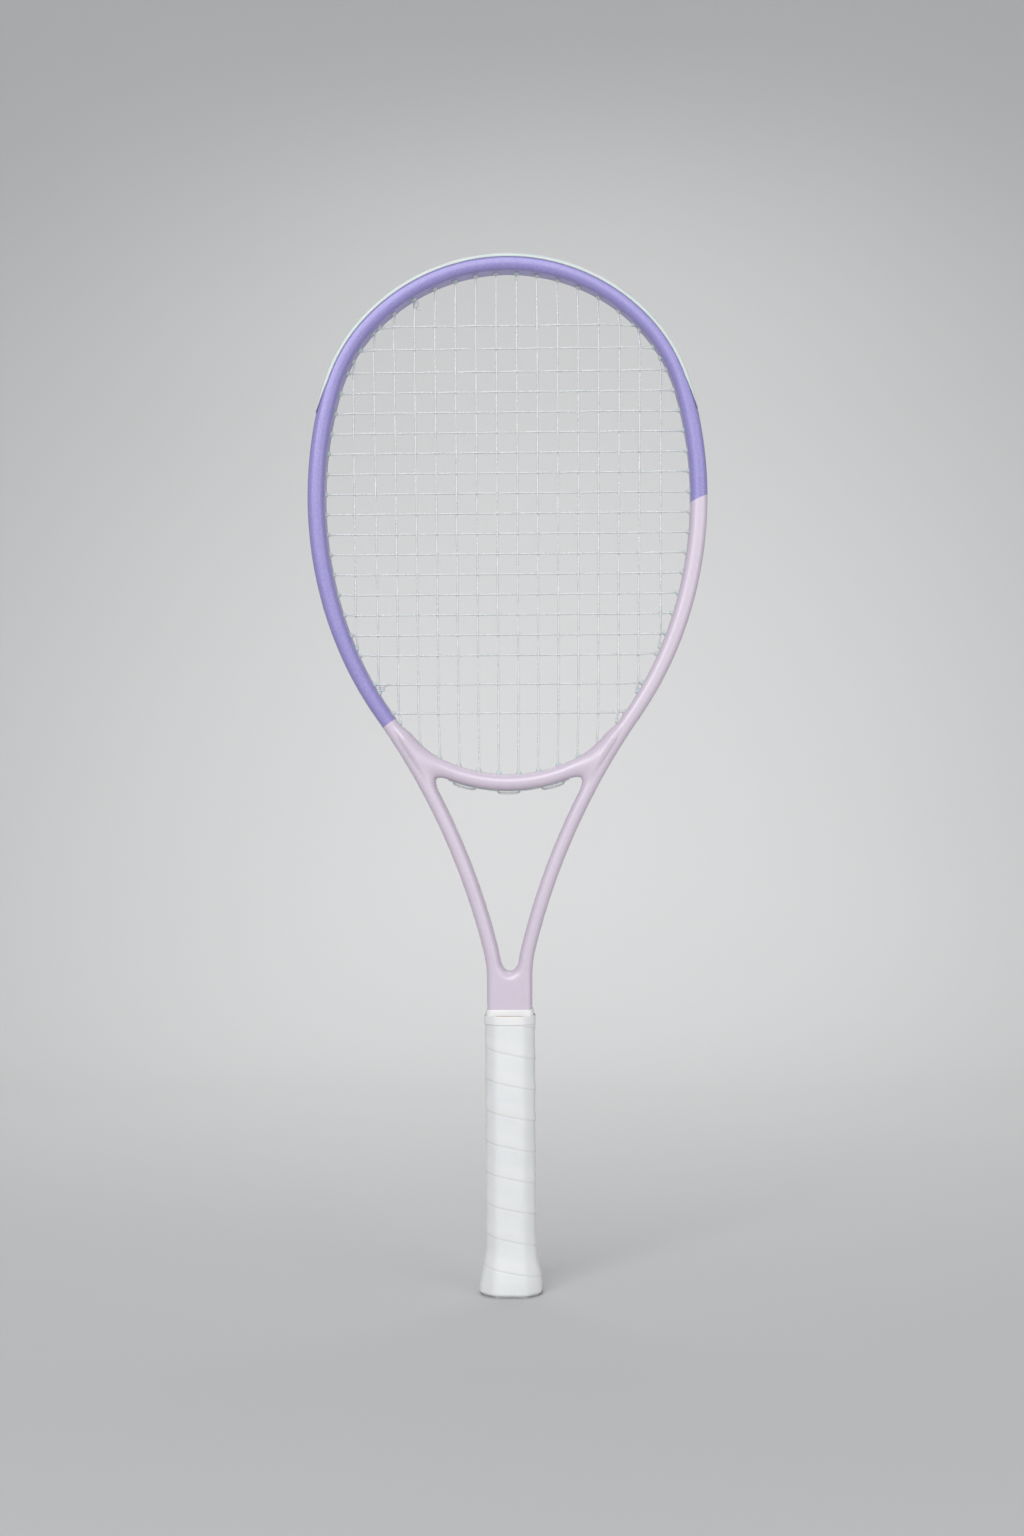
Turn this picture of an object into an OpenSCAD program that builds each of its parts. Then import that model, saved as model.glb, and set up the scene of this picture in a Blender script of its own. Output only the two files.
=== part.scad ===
// Tennis racket: a hollow moulded frame, its strings and grommets, and a wrapped handle.
// It stands on its butt end: +Z runs up the handle, X across the face, Y through the beam.
// Millimetres.

/* [Head outline] */
// Overall length, from the butt face to the top of the guard
overall_l = 685.8; // [660:0.1:840]
// Radius of the arc over the top of the head
top_r = 131; // [120:1:160]
// Turn of the top arc, from the middle to each shoulder, in degrees
top_turn = 48; // [44:1:52]
// Radius of the arc at each shoulder of the head
shoulder_r = 111; // [92:1:134]
// Turn of each shoulder arc
shoulder_turn = 26; // [22:1:30]
// Radius of the arc at each side of the head
side_r = 265; // [240:1:290]
// Turn of each side arc
side_turn = 31; // [28:1:34]
// Radius of the arc from each side in towards the throat
lower_r = 247; // [220:1:280]
// Turn of each lower arc
lower_turn = 20; // [17:1:22]

/* [Frame tube] */
// Width of the tube across the face
beam_w = 11; // [10:0.1:14]
// Depth of the tube, from front to back
beam_d = 23; // [19:0.5:28]
// Thickness of the moulded wall
wall = 1.5; // [1:0.1:2.2]
// Depth of the string groove, and of the seat under the guard
groove_depth = 2.7; // [2.2:0.1:3.2]
// Width of the string groove
groove_w = 9.4; // [7:0.2:12]
// Depth of the bridge tube, from front to back
bridge_d = 20; // [16:0.5:23]
// Width of the bridge tube across the face
bridge_w = 10.5; // [9:0.1:12]
// Depth of the bridge's curve, from the head's lower corners to its middle
bridge_sag = 36.9; // [30:0.1:46]
// How far the bridge starts below the hoop's inner edge
bridge_drop = 6; // [5:0.1:8]
// Width of each throat arm across the face
arm_w = 9.8; // [8.5:0.1:11]
// Depth of each throat arm, from front to back
arm_d = 22; // [18:0.5:26]
// Share of each arm's bend that the tighter arc at its foot takes up
arm_foot_share = 0.11; // [0.06:0.01:1]
// Radius of the fillet in each upper corner of the throat
throat_fillet = 6; // [4:0.5:9]

/* [Shaft] */
// Width of the shaft above the handle
shaft_w = 29.6; // [27:0.1:36]
// Depth of the shaft above the handle
shaft_d = 21; // [18:0.1:25.2]
// Height of the shaft's top, where the arms part
shaft_top_z = 208; // [200:0.5:250]
/* [Strings] */
// Diameter of the string
string_dia = 1.3; // [1.1:0.05:1.5]
// Number of upright strings
mains = 16; // [16]
// Gap between the outermost upright strings and the head's inner wall, at the top
main_margin_top = 18.8; // [16:0.1:26]
// The same gap at the throat, where the strings close in a little
main_margin_low = 21.8; // [18:0.1:28]
// Extra spread of the two outermost upright strings at their lower ends
outer_spread = 1.8; // [0:0.1:3]
// Number of level strings
crosses = 19; // [19]
// Depth of the highest level string below the top of the guard
cross_drop = 46; // [44:0.5:52]
// Spacing of the two highest gaps between level strings
cross_pitch_high = 15.2; // [13:0.1:16]
// Height of the lowest level string above the middle of the bridge
cross_rise = 40.6; // [38:0.5:48]
// Spacing of the two lowest gaps between level strings
cross_pitch_low = 19.2; // [16:0.1:20]
// Gap left between two strings where they cross
weave_gap = 0.2; // [0.1:0.05:0.3]
// Diameter of the hole through each grommet
grommet_bore = 1.9; // [1.8:0.05:2.1]
// Wall of each grommet's tube
grommet_wall = 0.55; // [0.4:0.05:0.7]
// Play of each grommet's tube in its hole in the frame
grommet_play = 0.25; // [0.2:0.05:0.4]
// How far each grommet's tube stands out of the inner wall
grommet_lip = 1.2; // [0.8:0.1:1.6]
// Thickness of the grommet strips in the groove
strip_t = 0.8; // [0.6:0.1:1]
// Turn of the guard past each shoulder, down the side arc
guard_turn = 4; // [2:0.5:10]

/* [Handle] */
// Height of the top of the pallets
pallet_top_z = 184; // [170:0.5:200]
// Width of the bare handle across the side flats
pallet_w = 28.6; // [26:0.1:35]
// Depth of the bare handle across the front and back flats
pallet_d = 24.8; // [22.8:0.1:30]
// Thickness of the pallets at their sides, round the shaft's tail
pallet_side_wall = 3.5; // [3:0.1:4.5]
// Thickness of the pallets at the front and back, over the shaft's tail
pallet_face_wall = 4.9; // [4:0.1:6]
// Size of the handle's eight-sided bevels
bevel = 6.2; // [5:0.1:7]
// Thickness of the cushioned base grip
base_grip_t = 1.5; // [1.2:0.1:2]
// Thickness of the overgrip
overgrip_t = 0.6; // [0.4:0.05:0.8]
// How much the butt cap flares out past the bare handle
flare = 4.1; // [3:0.1:5]
// Height of the butt cap
cap_h = 34; // [28:0.5:40]
// Thickness of the butt cap's wall at its rim
cap_wall = 1.4; // [1.2:0.1:2]
// Thickness of the butt cap's floor
floor_t = 3; // [2.6:0.1:3.6]
// Width of the trap door in the butt cap's floor
door_w = 15; // [12:0.5:18]
// Length of the trap door, away from its hinge
door_l = 13; // [10:0.5:15]
// Thickness of the trap door
door_t = 1.8; // [1.5:0.1:2.2]
// Running gap round the trap door
door_gap = 0.35; // [0.25:0.05:0.5]
// Diameter of the trap door's hinge pin
pin_dia = 1.6; // [1.4:0.1:1.8]
// Gap between pieces that only seat on each other
seat_gap = 0.1; // [0.05:0.05:0.2]

/* [Hidden] */
$fn = 48;

// Each joint in the swept frame overlaps by this much, and every other arc is a hair slimmer,
// so that no two surfaces lie on each other.
joint_lap = 0.4;
hair = 0.03;

// ---------- plane geometry of the outline ----------
// A heading h is the outward normal's turn from straight up, clockwise as the face is seen.
function normal(h) = [sin(h), cos(h)];
radii = [top_r, shoulder_r, side_r, lower_r];
turns = [top_turn, shoulder_turn, side_turn, lower_turn];
function start_h(k) = k == 0 ? 0 : start_h(k - 1) + turns[k - 1];
function centre(k) = k == 0
    ? [0, overall_l - top_r]
    : centre(k - 1) + (radii[k - 1] - radii[k]) * normal(start_h(k));
function on_arc(k, h, out = 0) = centre(k) + (radii[k] + out) * normal(h);
hoop_end_h = start_h(4);
hoop_end = on_arc(3, hoop_end_h);

function unit(v) = v / norm(v);

// Each throat arm's outer edge is two arcs that join smoothly, from the hoop's end down to the
// shaft. The first takes the tangent length arm_reach, the second arm_foot_share of it.
arm_dir = [cos(hoop_end_h), -sin(hoop_end_h)];
foot_dir = [0, -1];
arm_foot = [shaft_w / 2, shaft_top_z];
arm_span = arm_foot - hoop_end;
arm_a = 2 * arm_foot_share * (arm_dir * foot_dir - 1);
arm_b = -2 * (arm_span * (arm_dir + arm_foot_share * foot_dir));
arm_reach = (-arm_b - sqrt(arm_b * arm_b - 4 * arm_a * (arm_span * arm_span))) / (2 * arm_a);
arm_mid_dir = unit(arm_foot - arm_foot_share * arm_reach * foot_dir - hoop_end - arm_reach * arm_dir);
arm_mid_h = 90 + atan2(-arm_mid_dir[0], -arm_mid_dir[1]);
// Radius of each arc: positive where it is hollow towards the outside.
arm_radii = [
    arm_reach / tan((hoop_end_h - arm_mid_h) / 2),
    arm_foot_share * arm_reach / tan((arm_mid_h - 90) / 2)
];
arm_turns = [[arm_mid_h, hoop_end_h], [90, arm_mid_h]];
arm_centres = [
    hoop_end + arm_radii[0] * normal(hoop_end_h),
    arm_foot + arm_radii[1] * normal(90)
];
function on_arm(k, h, out = 0) = arm_centres[k] - (arm_radii[k] - out) * normal(h);

// The bridge is one arc about this centre.
bridge_corner_at = on_arc(3, hoop_end_h, -beam_w) - [0, bridge_drop];
bridge_r = (pow(bridge_corner_at[0], 2) + pow(bridge_sag, 2)) / (2 * bridge_sag);
bridge_c = [0, bridge_corner_at[1] - bridge_sag + bridge_r];
bridge_z = bridge_c[1] - bridge_r;
bridge_turn = asin(bridge_corner_at[0] / bridge_r) - 4.5;

// ---------- where the strings meet the frame ----------
// Each end is [point on the inner wall, outward normal, depth of frame along the normal].
function arc_hit_x(k, x, low, out) = let (
        s = (x - centre(k)[0]) / (radii[k] + out),
        h = abs(s) > 1 ? -1 : (low ? 180 - asin(s) : asin(s)))
    h >= start_h(k) && h <= start_h(k + 1) ? [h] : [];
function arc_hit_z(k, z, out) = let (
        c = (z - centre(k)[1]) / (radii[k] + out),
        h = abs(c) > 1 ? -1 : acos(c))
    h >= start_h(k) && h <= start_h(k + 1) ? [h] : [];
function arc_ends(k, hits) = [for (h = hits) [on_arc(k, h, -beam_w), normal(h), beam_w]];
// Where the first arm arc's inner edge reaches a given x or z.
function arm_ends(h) = h >= arm_mid_h && h <= hoop_end_h + 0.01
    ? [[on_arm(0, h, -arm_w), normal(h), arm_w]] : [];
function arm_x_ends(x) = arm_ends(180 - asin((arm_centres[0][0] - x) / (arm_radii[0] + arm_w)));
function arm_z_ends(z) = arm_ends(acos((arm_centres[0][1] - z) / (arm_radii[0] + arm_w)));
function hoop_end_x(x, low) = concat(
    [for (k = [0:3]) each arc_ends(k, arc_hit_x(k, x, low, -beam_w))],
    arm_x_ends(x))[0];
function hoop_end_z(z) = concat(
    [for (k = [0:3]) each arc_ends(k, arc_hit_z(k, z, -beam_w))],
    arm_z_ends(z))[0];
// Distance from p along n to the first arm arc's outer edge.
function arm_exit(p, n) = let (
        b = (p - arm_centres[0]) * n,
        c = (p - arm_centres[0]) * (p - arm_centres[0]) - arm_radii[0] * arm_radii[0])
    -b - sqrt(b * b - c);
bridge_reach = bridge_r * sin(bridge_turn) - 2;
bridge_strip_x = 36;
function bridge_end(x) = let (
        n = [x, -sqrt(bridge_r * bridge_r - x * x)] / bridge_r,
        p = bridge_c + bridge_r * n)
    [p, n, x < bridge_strip_x ? bridge_w : arm_exit(p, n)];
function mirrored(e, left) = left ? [[-e[0][0], e[0][1]], [-e[1][0], e[1][1]], e[2]] : e;
inner_half_w = on_arc(2, 90, -beam_w)[0];
main_pitch_top = (inner_half_w - main_margin_top) / ((mains - 1) / 2);
main_pitch_low = (inner_half_w - main_margin_low) / ((mains - 1) / 2);
function main_x(i, pitch) = (i - (mains - 1) / 2) * pitch;
function main_top(i) = let (x = main_x(i, main_pitch_top))
    mirrored(hoop_end_x(abs(x), false), x < 0);
function is_outer(i) = i == 0 || i == mains - 1;
function main_low(i) = let (
        inner_x = main_x(i, main_pitch_low),
        x = inner_x + (is_outer(i) ? outer_spread * sign(inner_x) : 0))
    mirrored(abs(x) < bridge_reach ? bridge_end(abs(x)) : hoop_end_x(abs(x), true), x < 0);
cross_pitch = (overall_l - cross_drop - bridge_z - cross_rise - 2 * cross_pitch_high
    - 2 * cross_pitch_low) / (crosses - 5);
function gaps_above(j) = j == 0 ? 0 : gaps_above(j - 1)
    + (j <= 2 ? cross_pitch_high : j > crosses - 3 ? cross_pitch_low : cross_pitch);
function cross_z(j) = overall_l - cross_drop - gaps_above(j);
function cross_end(j, left) = mirrored(hoop_end_z(cross_z(j)), left);
guard_end_h = start_h(2) + guard_turn;
guard_low_z = on_arc(2, guard_end_h)[1];
main_ends_high = [for (i = [0:mains - 1]) main_top(i)];
main_ends_low = [for (i = [0:mains - 1]) main_low(i)];
cross_ends_left = [for (j = [0:crosses - 1]) cross_end(j, true)];
cross_ends_right = [for (j = [0:crosses - 1]) cross_end(j, false)];
guard_ends = concat(main_ends_high,
    [for (e = concat(cross_ends_left, cross_ends_right)) if (e[0][1] > guard_low_z) e]);
side_ends_right = concat(
    [for (e = cross_ends_right) if (e[0][1] <= guard_low_z) e],
    [for (e = main_ends_low) if (e[0][0] > bridge_strip_x) e]);
bridge_ends = [for (e = main_ends_low) if (abs(e[0][0]) <= bridge_strip_x) e];

// ---------- general shapes ----------
// Points of a rectangle from u0 to u1 and across d, with rounded corners.
corner_steps = 3;
function rounded(u0, u1, d, r) = [
    for (q = [0:3])
        for (s = [0:corner_steps])
            let (
                a = 90 * (q + s / corner_steps),
                cu = q == 0 || q == 3 ? u1 - r : u0 + r,
                cv = q < 2 ? d / 2 - r : r - d / 2)
            [cu + r * cos(a), cv + r * sin(a)]
];
// A closed solid through rings of points, each ring with the same count.
module skin(rings) {
    n = len(rings[0]);
    last = len(rings) - 1;
    faces = concat(
        [[for (i = [n - 1:-1:0]) i]],
        [[for (i = [0:n - 1]) last * n + i]],
        [for (k = [0:last - 1])
            for (i = [0:n - 1])
                let (a = k * n + i, b = k * n + (i + 1) % n)
                each [[a, b, b + n], [a, b + n, a + n]]]);
    polyhedron(points = [for (ring = rings) each ring], faces = faces, convexity = 10);
}
// Sweeps the children's section round arc k between two headings. In the section, x is the
// distance out from the outline and y runs through the beam.
module arc_sweep(c, r, h0, h1) {
    translate([c[0], 0, c[1]])
        rotate([90, 0, 0])
        rotate([0, 0, 90 - h1])
        rotate_extrude(angle = h1 - h0, $fn = 96)
        translate([r, 0])
        children();
}
// A straight hole or tube along the normal at a string's end.
module along_end(e, from, to, r) {
    p = e[0] + from * e[1];
    translate([p[0], 0, p[1]])
        rotate([0, atan2(e[1][0], e[1][1]), 0])
        cylinder(r = r, h = to - from, $fn = 24);
}
module both_sides() {
    children();
    mirror([1, 0, 0]) children();
}
// An eight-sided outline, wider than the bare handle by grow on every side.
function eight(grow) = let (
        w = pallet_w / 2 + grow,
        d = pallet_d / 2 + grow,
        b = bevel + 0.6 * grow)
    [[w, b - d], [w, d - b], [w - b, d], [b - w, d], [-w, d - b], [-w, b - d], [b - w, -d],
        [w - b, -d]];
function level(points, z) = [for (i = [len(points) - 1:-1:0]) [points[i][0], points[i][1], z]];

// ---------- frame ----------
tube_corner = 4;
cavity_corner = 2;
groove_floor = -groove_depth;
module tube_section(slim, seated) {
    difference() {
        polygon(rounded(slim - beam_w, -slim, beam_d - 2 * slim, tube_corner));
        if (seated)
            translate([groove_floor - slim, -beam_d])
                square([beam_w, 2 * beam_d]);
        else
            translate([groove_floor - slim, -groove_w / 2 - slim])
                square([beam_w, groove_w + 2 * slim]);
        polygon(rounded(wall - slim - beam_w, groove_floor - wall + slim, beam_d - 2 * wall + 2 * slim,
            cavity_corner));
    }
}
module hoop_tube() {
    lap = [for (r = radii) joint_lap / r * 57.3];
    color([0.58, 0.56, 0.79])
    difference() {
        union() {
            arc_sweep(centre(0), top_r, -top_turn, top_turn)
                tube_section(0, true);
            both_sides() {
                arc_sweep(centre(1), shoulder_r, start_h(1) - lap[1], start_h(2) + lap[1])
                    tube_section(hair, true);
                arc_sweep(centre(2), side_r, start_h(2), guard_end_h)
                    tube_section(0, true);
                arc_sweep(centre(2), side_r, guard_end_h - lap[2], start_h(3))
                    tube_section(hair, false);
                arc_sweep(centre(3), lower_r, start_h(3) - lap[3], start_h(4))
                    tube_section(2 * hair, false);
            }
        }
        for (e = guard_ends)
            frame_hole(e);
        both_sides()
            for (e = side_ends_right)
                if (!in_arm(e))
                    frame_hole(e);
    }
}
// The holes of the lowest level string and of the mains nearest the throat are in the arms.
function in_arm(e) = e[0][1] < on_arc(3, hoop_end_h, -beam_w)[1];
module frame_hole(e) {
    along_end(e, -grommet_lip, e[2] + 1, grommet_bore / 2 + grommet_wall + grommet_play);
}
// Sweeps the children's section down arm arc k. In the section, x is the distance out from
// the arm's outer edge.
module arm_sweep(k, h0, h1) {
    hollow = arm_radii[k] > 0;
    turn = hollow ? 180 : 0;
    arc_sweep(arm_centres[k], 0, h0 + turn, h1 + turn)
        translate([abs(arm_radii[k]), 0])
        mirror([hollow ? 1 : 0, 0])
        children();
}
module arm_section(slim, grooved) {
    difference() {
        polygon(rounded(slim - arm_w, -slim, arm_d - 2 * slim, tube_corner));
        if (grooved)
            translate([groove_floor - slim, -groove_w / 2])
                square([beam_w, groove_w]);
        polygon(rounded(wall - slim - arm_w, groove_floor - wall + slim, arm_d - 2 * wall + 2 * slim,
            cavity_corner));
    }
}
// The space from an arm's foot outwards, for cutting what butts against it.
module arm_foot_space() {
    arm_sweep(1, 90, arm_mid_h)
        polygon(rounded(-arm_w, arm_w, arm_d, tube_corner));
}
module throat_arm() {
    lap = joint_lap / arm_radii[0] * 57.3;
    color([0.83, 0.78, 0.85])
    difference() {
        union() {
            arm_sweep(0, arm_mid_h, hoop_end_h)
                arm_section(0, true);
            arm_sweep(1, 90, arm_mid_h + lap * arm_radii[0] / arm_radii[1])
                arm_section(hair, false);
        }
        for (e = side_ends_right)
            if (in_arm(e))
                frame_hole(e);
    }
}
module throat_arm_right() {
    throat_arm();
}
module throat_arm_left() {
    mirror([1, 0, 0]) throat_arm();
}

// The throat's corner fillet touches both the bridge's and the arm's edge.
function circles_meet(p, rp, q, rq) = let (
        d = norm(q - p),
        a = (d * d + rp * rp - rq * rq) / (2 * d),
        u = (q - p) / d)
    p + a * u + sqrt(rp * rp - a * a) * [u[1], -u[0]];
module corner_gusset() {
    f = circles_meet(bridge_c, bridge_r + bridge_w + throat_fillet,
        arm_centres[0], arm_radii[0] + arm_w + throat_fillet);
    to_arm = unit(arm_centres[0] - f);
    to_bridge = unit(bridge_c - f);
    reach = throat_fillet + 1;
    rotate([90, 0, 0])
        linear_extrude(height = bridge_d - 2 * corner_inset, center = true)
        difference() {
            polygon([f, f + reach * to_arm, f + reach * (to_arm + to_bridge) / (1 + to_arm * to_bridge),
                f + reach * to_bridge]);
            translate(f) circle(r = throat_fillet);
        }
}
corner_inset = 3;
bridge_corner = 3.4;
module throat_bridge() {
    color([0.84, 0.79, 0.86])
    difference() {
        union() {
            arc_sweep(bridge_c, bridge_r, 180 - bridge_turn, 180 + bridge_turn)
                difference() {
                    polygon(rounded(0, bridge_w, bridge_d, bridge_corner));
                    polygon(rounded(wall, bridge_w - wall, bridge_d - 2 * wall, cavity_corner));
                }
            both_sides() corner_gusset();
        }
        both_sides()
            translate([arm_centres[0][0], 0, arm_centres[0][1]])
            rotate([90, 0, 0])
            cylinder(r = arm_radii[0] + arm_w, h = 2 * beam_d, center = true, $fn = 720);
        for (e = main_ends_low)
            if (abs(e[0][0]) < bridge_reach)
                frame_hole(e);
    }
}
shaft_corner = 3;
tail_low_z = 14;
tail_w = pallet_w - 2 * pallet_side_wall;
tail_d = pallet_d - 2 * pallet_face_wall;
module shaft() {
    throat_base_r = shaft_w / 2 - arm_w;
    throat_base_z = shaft_top_z + wall + 3 + throat_base_r;
    step_z = pallet_top_z + seat_gap;
    color([0.81, 0.77, 0.82])
    difference() {
        union() {
            translate([0, 0, step_z])
                linear_extrude(height = shaft_top_z - step_z)
                polygon(rounded(-shaft_w / 2, shaft_w / 2, shaft_d, shaft_corner));
            translate([0, 0, tail_low_z])
                linear_extrude(height = step_z - tail_low_z)
                polygon(rounded(-tail_w / 2, tail_w / 2, tail_d, cavity_corner));
            difference() {
                translate([-throat_base_r - 2, 3 - shaft_d / 2, shaft_top_z])
                    cube([2 * throat_base_r + 4, shaft_d - 6, throat_base_z - 1.5 - shaft_top_z]);
                translate([0, 0, throat_base_z])
                    rotate([90, 0, 0])
                    cylinder(r = throat_base_r, h = 2 * shaft_d, center = true);
                both_sides() arm_foot_space();
            }
        }
        translate([0, 0, step_z + wall])
            linear_extrude(height = shaft_top_z - step_z - 2 * wall)
            polygon(rounded(wall - shaft_w / 2, shaft_w / 2 - wall, shaft_d - 2 * wall, cavity_corner));
        translate([0, 0, tail_low_z - 1])
            linear_extrude(height = step_z + 2 * wall - tail_low_z)
            polygon(rounded(wall - tail_w / 2, tail_w / 2 - wall, tail_d - 2 * wall, 1));
    }
}

// ---------- grommets ----------
grommet_r = grommet_bore / 2 + grommet_wall;
strip_floor = seat_gap - groove_depth;
module grommet_tubes(ends, sunk) {
    for (e = ends)
        along_end(e, -grommet_lip, e[2] - sunk, grommet_r);
}
module grommet_bores(ends) {
    for (e = ends)
        along_end(e, -grommet_lip - 1, e[2] + 3, grommet_bore / 2);
}
channel_w = 4.8;
module guard_section(slim) {
    half = beam_d / 2 - slim;
    low_u = strip_floor + slim;
    floor_u = strip_floor + strip_t - slim;
    side = channel_w / 2 + slim;
    chamfer = 1.4;
    polygon([[low_u, -half], [-chamfer, -half], [-slim, chamfer - half], [-slim, -side],
        [floor_u, -side], [floor_u, side], [-slim, side], [-slim, half - chamfer],
        [-chamfer, half], [low_u, half]]);
}
module bumper_guard() {
    lap = joint_lap / shoulder_r * 57.3;
    color([0.87, 0.9, 0.89])
    difference() {
        union() {
            arc_sweep(centre(0), top_r, -top_turn, top_turn)
                guard_section(0);
            both_sides() {
                arc_sweep(centre(1), shoulder_r, start_h(1) - lap, start_h(2) + lap)
                    guard_section(hair);
                arc_sweep(centre(2), side_r, start_h(2), guard_end_h - 0.1)
                    guard_section(0);
            }
            grommet_tubes(guard_ends, groove_depth - seat_gap - strip_t / 2);
        }
        grommet_bores(guard_ends);
    }
}
module grommet_strip() {
    strip_end_h = hoop_end_h - 0.55 * (hoop_end_h - arm_mid_h);
    lap = joint_lap / lower_r * 57.3;
    half = groove_w / 2 - 0.2;
    color([0.88, 0.9, 0.9])
    difference() {
        union() {
            arc_sweep(centre(2), side_r + strip_floor, guard_end_h + 0.1, start_h(3))
                translate([0, -half]) square([strip_t, 2 * half]);
            arc_sweep(centre(3), lower_r + strip_floor + hair, start_h(3) - lap, start_h(4) + lap)
                translate([0, hair - half]) square([strip_t - 2 * hair, 2 * half - 2 * hair]);
            arm_sweep(0, strip_end_h, hoop_end_h)
                translate([strip_floor, -half]) square([strip_t, 2 * half]);
            grommet_tubes(side_ends_right, groove_depth - seat_gap - strip_t / 2);
        }
        grommet_bores(side_ends_right);
    }
}
module grommet_strip_right() {
    grommet_strip();
}
module grommet_strip_left() {
    mirror([1, 0, 0]) grommet_strip();
}
module throat_grommet_strip() {
    half = groove_w / 2 - 0.2;
    turn = asin(bridge_strip_x / bridge_r);
    color([0.88, 0.9, 0.9])
    difference() {
        union() {
            arc_sweep(bridge_c, bridge_r + bridge_w + seat_gap, 180 - turn, 180 + turn)
                translate([0, -half]) square([strip_t, 2 * half]);
            grommet_tubes(bridge_ends, -seat_gap - strip_t / 2);
        }
        grommet_bores(bridge_ends);
    }
}

// ---------- strings ----------
string_sides = 6;
string_r = string_dia / 2;
weave = (string_dia + weave_gap) / 2;
lane = 1.6;
turn_run = 1.3;
groove_level = 0.7;
function out_of(e) = abs(e[0][0]) <= bridge_strip_x && e[0][1] < bridge_z + bridge_w
    ? e[2] + 2 * seat_gap + strip_t + string_dia - 0.2
    : e[2] - groove_level;
// How far inside the grommet's lip a string leaves the hole's line, and how far below the outside
// loop it starts to turn.
mouth_run = 0.6;
turn_below = 0.6;
function spot(e, along, y = 0) = let (p = e[0] + along * e[1]) [p[0], y, p[1]];
// The outside loop from one end's mouth to the next one's, in a lane to one side of the middle.
function loop_between(a, b, y) = let (
        t = unit(spot(b, out_of(b)) - spot(a, out_of(a))) * turn_run)
    [
        spot(a, -grommet_lip - mouth_run), spot(a, out_of(a) - turn_below),
        spot(a, out_of(a), y) + t, spot(b, out_of(b), y) - t,
        spot(b, out_of(b) - turn_below), spot(b, -grommet_lip - mouth_run)
    ];
// A loose end: out of its own grommet and along the groove to a stopper knot.
function tail(e, to, y) = let (t = unit(spot(to, out_of(to)) - spot(e, out_of(e))) * turn_run)
    [spot(e, out_of(e), y) + 3.4 * t, spot(e, out_of(e), y) + 2.6 * t, spot(e, out_of(e), y) + t,
        spot(e, out_of(e) - turn_below), spot(e, -grommet_lip - mouth_run)];
function reversed(list) = [for (i = [len(list) - 1:-1:0]) list[i]];
function main_at(i, z) = let (
        a = main_ends_low[i][0],
        b = main_ends_high[i][0])
    a[0] + (b[0] - a[0]) * (z - a[1]) / (b[1] - a[1]);
function crosses_main(i, j) = cross_z(j) > main_ends_low[i][0][1] + 1
    && cross_z(j) < main_ends_high[i][0][1] - 1;
function over(i, j) = (i + j) % 2 == 0 ? weave : -weave;
function main_run(i) = [
    for (j = [crosses - 1:-1:0]) if (crosses_main(i, j)) [main_at(i, cross_z(j)), over(i, j), cross_z(j)]
];
function cross_run(j) = [
    for (i = [0:mains - 1]) if (crosses_main(i, j)) [main_at(i, cross_z(j)), -over(i, j), cross_z(j)]
];
// The upright string goes up the first run, down the next, and so on from left to right.
main_route = concat(
    tail(main_ends_low[0], main_ends_low[1], lane),
    [for (i = [0:mains - 1])
        each concat(
            i % 2 == 0 ? main_run(i) : reversed(main_run(i)),
            i == mains - 1 ? [] : i % 2 == 0
                ? loop_between(main_ends_high[i], main_ends_high[i + 1], -lane)
                : loop_between(main_ends_low[i], main_ends_low[i + 1], -lane))],
    reversed(tail(main_ends_low[mains - 1], main_ends_low[mains - 2], lane)));
// The level string starts at the top left and works down.
cross_route = concat(
    tail(cross_ends_left[0], cross_ends_left[1], lane),
    [for (j = [0:crosses - 1])
        each concat(
            j % 2 == 0 ? cross_run(j) : reversed(cross_run(j)),
            j == crosses - 1 ? [] : j % 2 == 0
                ? loop_between(cross_ends_right[j], cross_ends_right[j + 1], lane)
                : loop_between(cross_ends_left[j], cross_ends_left[j + 1], lane))],
    reversed(tail(cross_ends_right[crosses - 1], cross_ends_right[crosses - 2], lane)));
module string_along(route) {
    last = len(route) - 1;
    skin([for (k = [0:last])
        let (
            before = unit(route[k] - route[max(k - 1, 0)] + (k == 0 ? route[1] - route[0] : [0, 0, 0])),
            after = unit(route[min(k + 1, last)] - route[k]
                + (k == last ? route[last] - route[last - 1] : [0, 0, 0])),
            t = unit(before + after),
            across = unit(cross(t, [0, 1, 0])),
            up = cross(across, t),
            knot = k < 2 || k > last - 2,
            r = knot ? string_r * 1.5 : string_r)
        [for (q = [0:string_sides - 1])
            let (a = 360 * q / string_sides) route[k] + r * (cos(a) * across + sin(a) * up)]]);
}
module main_string() {
    color([0.85, 0.87, 0.88]) string_along(main_route);
}
module cross_string() {
    color([0.85, 0.87, 0.88]) string_along(cross_route);
}

// ---------- handle ----------
pallet_low_z = 9;
// How far the butt cap stands out past the bare handle at each height.
cap_profile = [[0, -0.9], [1.2, 0], [8, 0], [15, -1.4], [22, -2.9], [28, -3.7], [cap_h, -flare]];
module cap_outer() {
    skin([for (q = cap_profile) level(eight(flare + q[1]), q[0])]);
}
module eight_bar(grow, z0, z1) {
    translate([0, 0, z0])
        linear_extrude(height = z1 - z0)
        polygon(eight(grow));
}
module staple_cuts() {
    for (side = [-1, 1]) {
        for (x = [-staple_w / 2, staple_w / 2])
            translate([x, side * (pallet_d / 2 + 1), staple_z])
                rotate([side * 90, 0, 0])
                cylinder(r = staple_wire / 2 + seat_gap, h = staple_leg + 1.6, $fn = 24);
        translate([0, side * (pallet_d / 2 + 1.5 - staple_sink), staple_z])
            cube([staple_w + 2 * staple_wire, 3, 2 * staple_wire], center = true);
    }
}
staple_w = 9;
staple_wire = 1;
staple_leg = 3.5;
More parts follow.
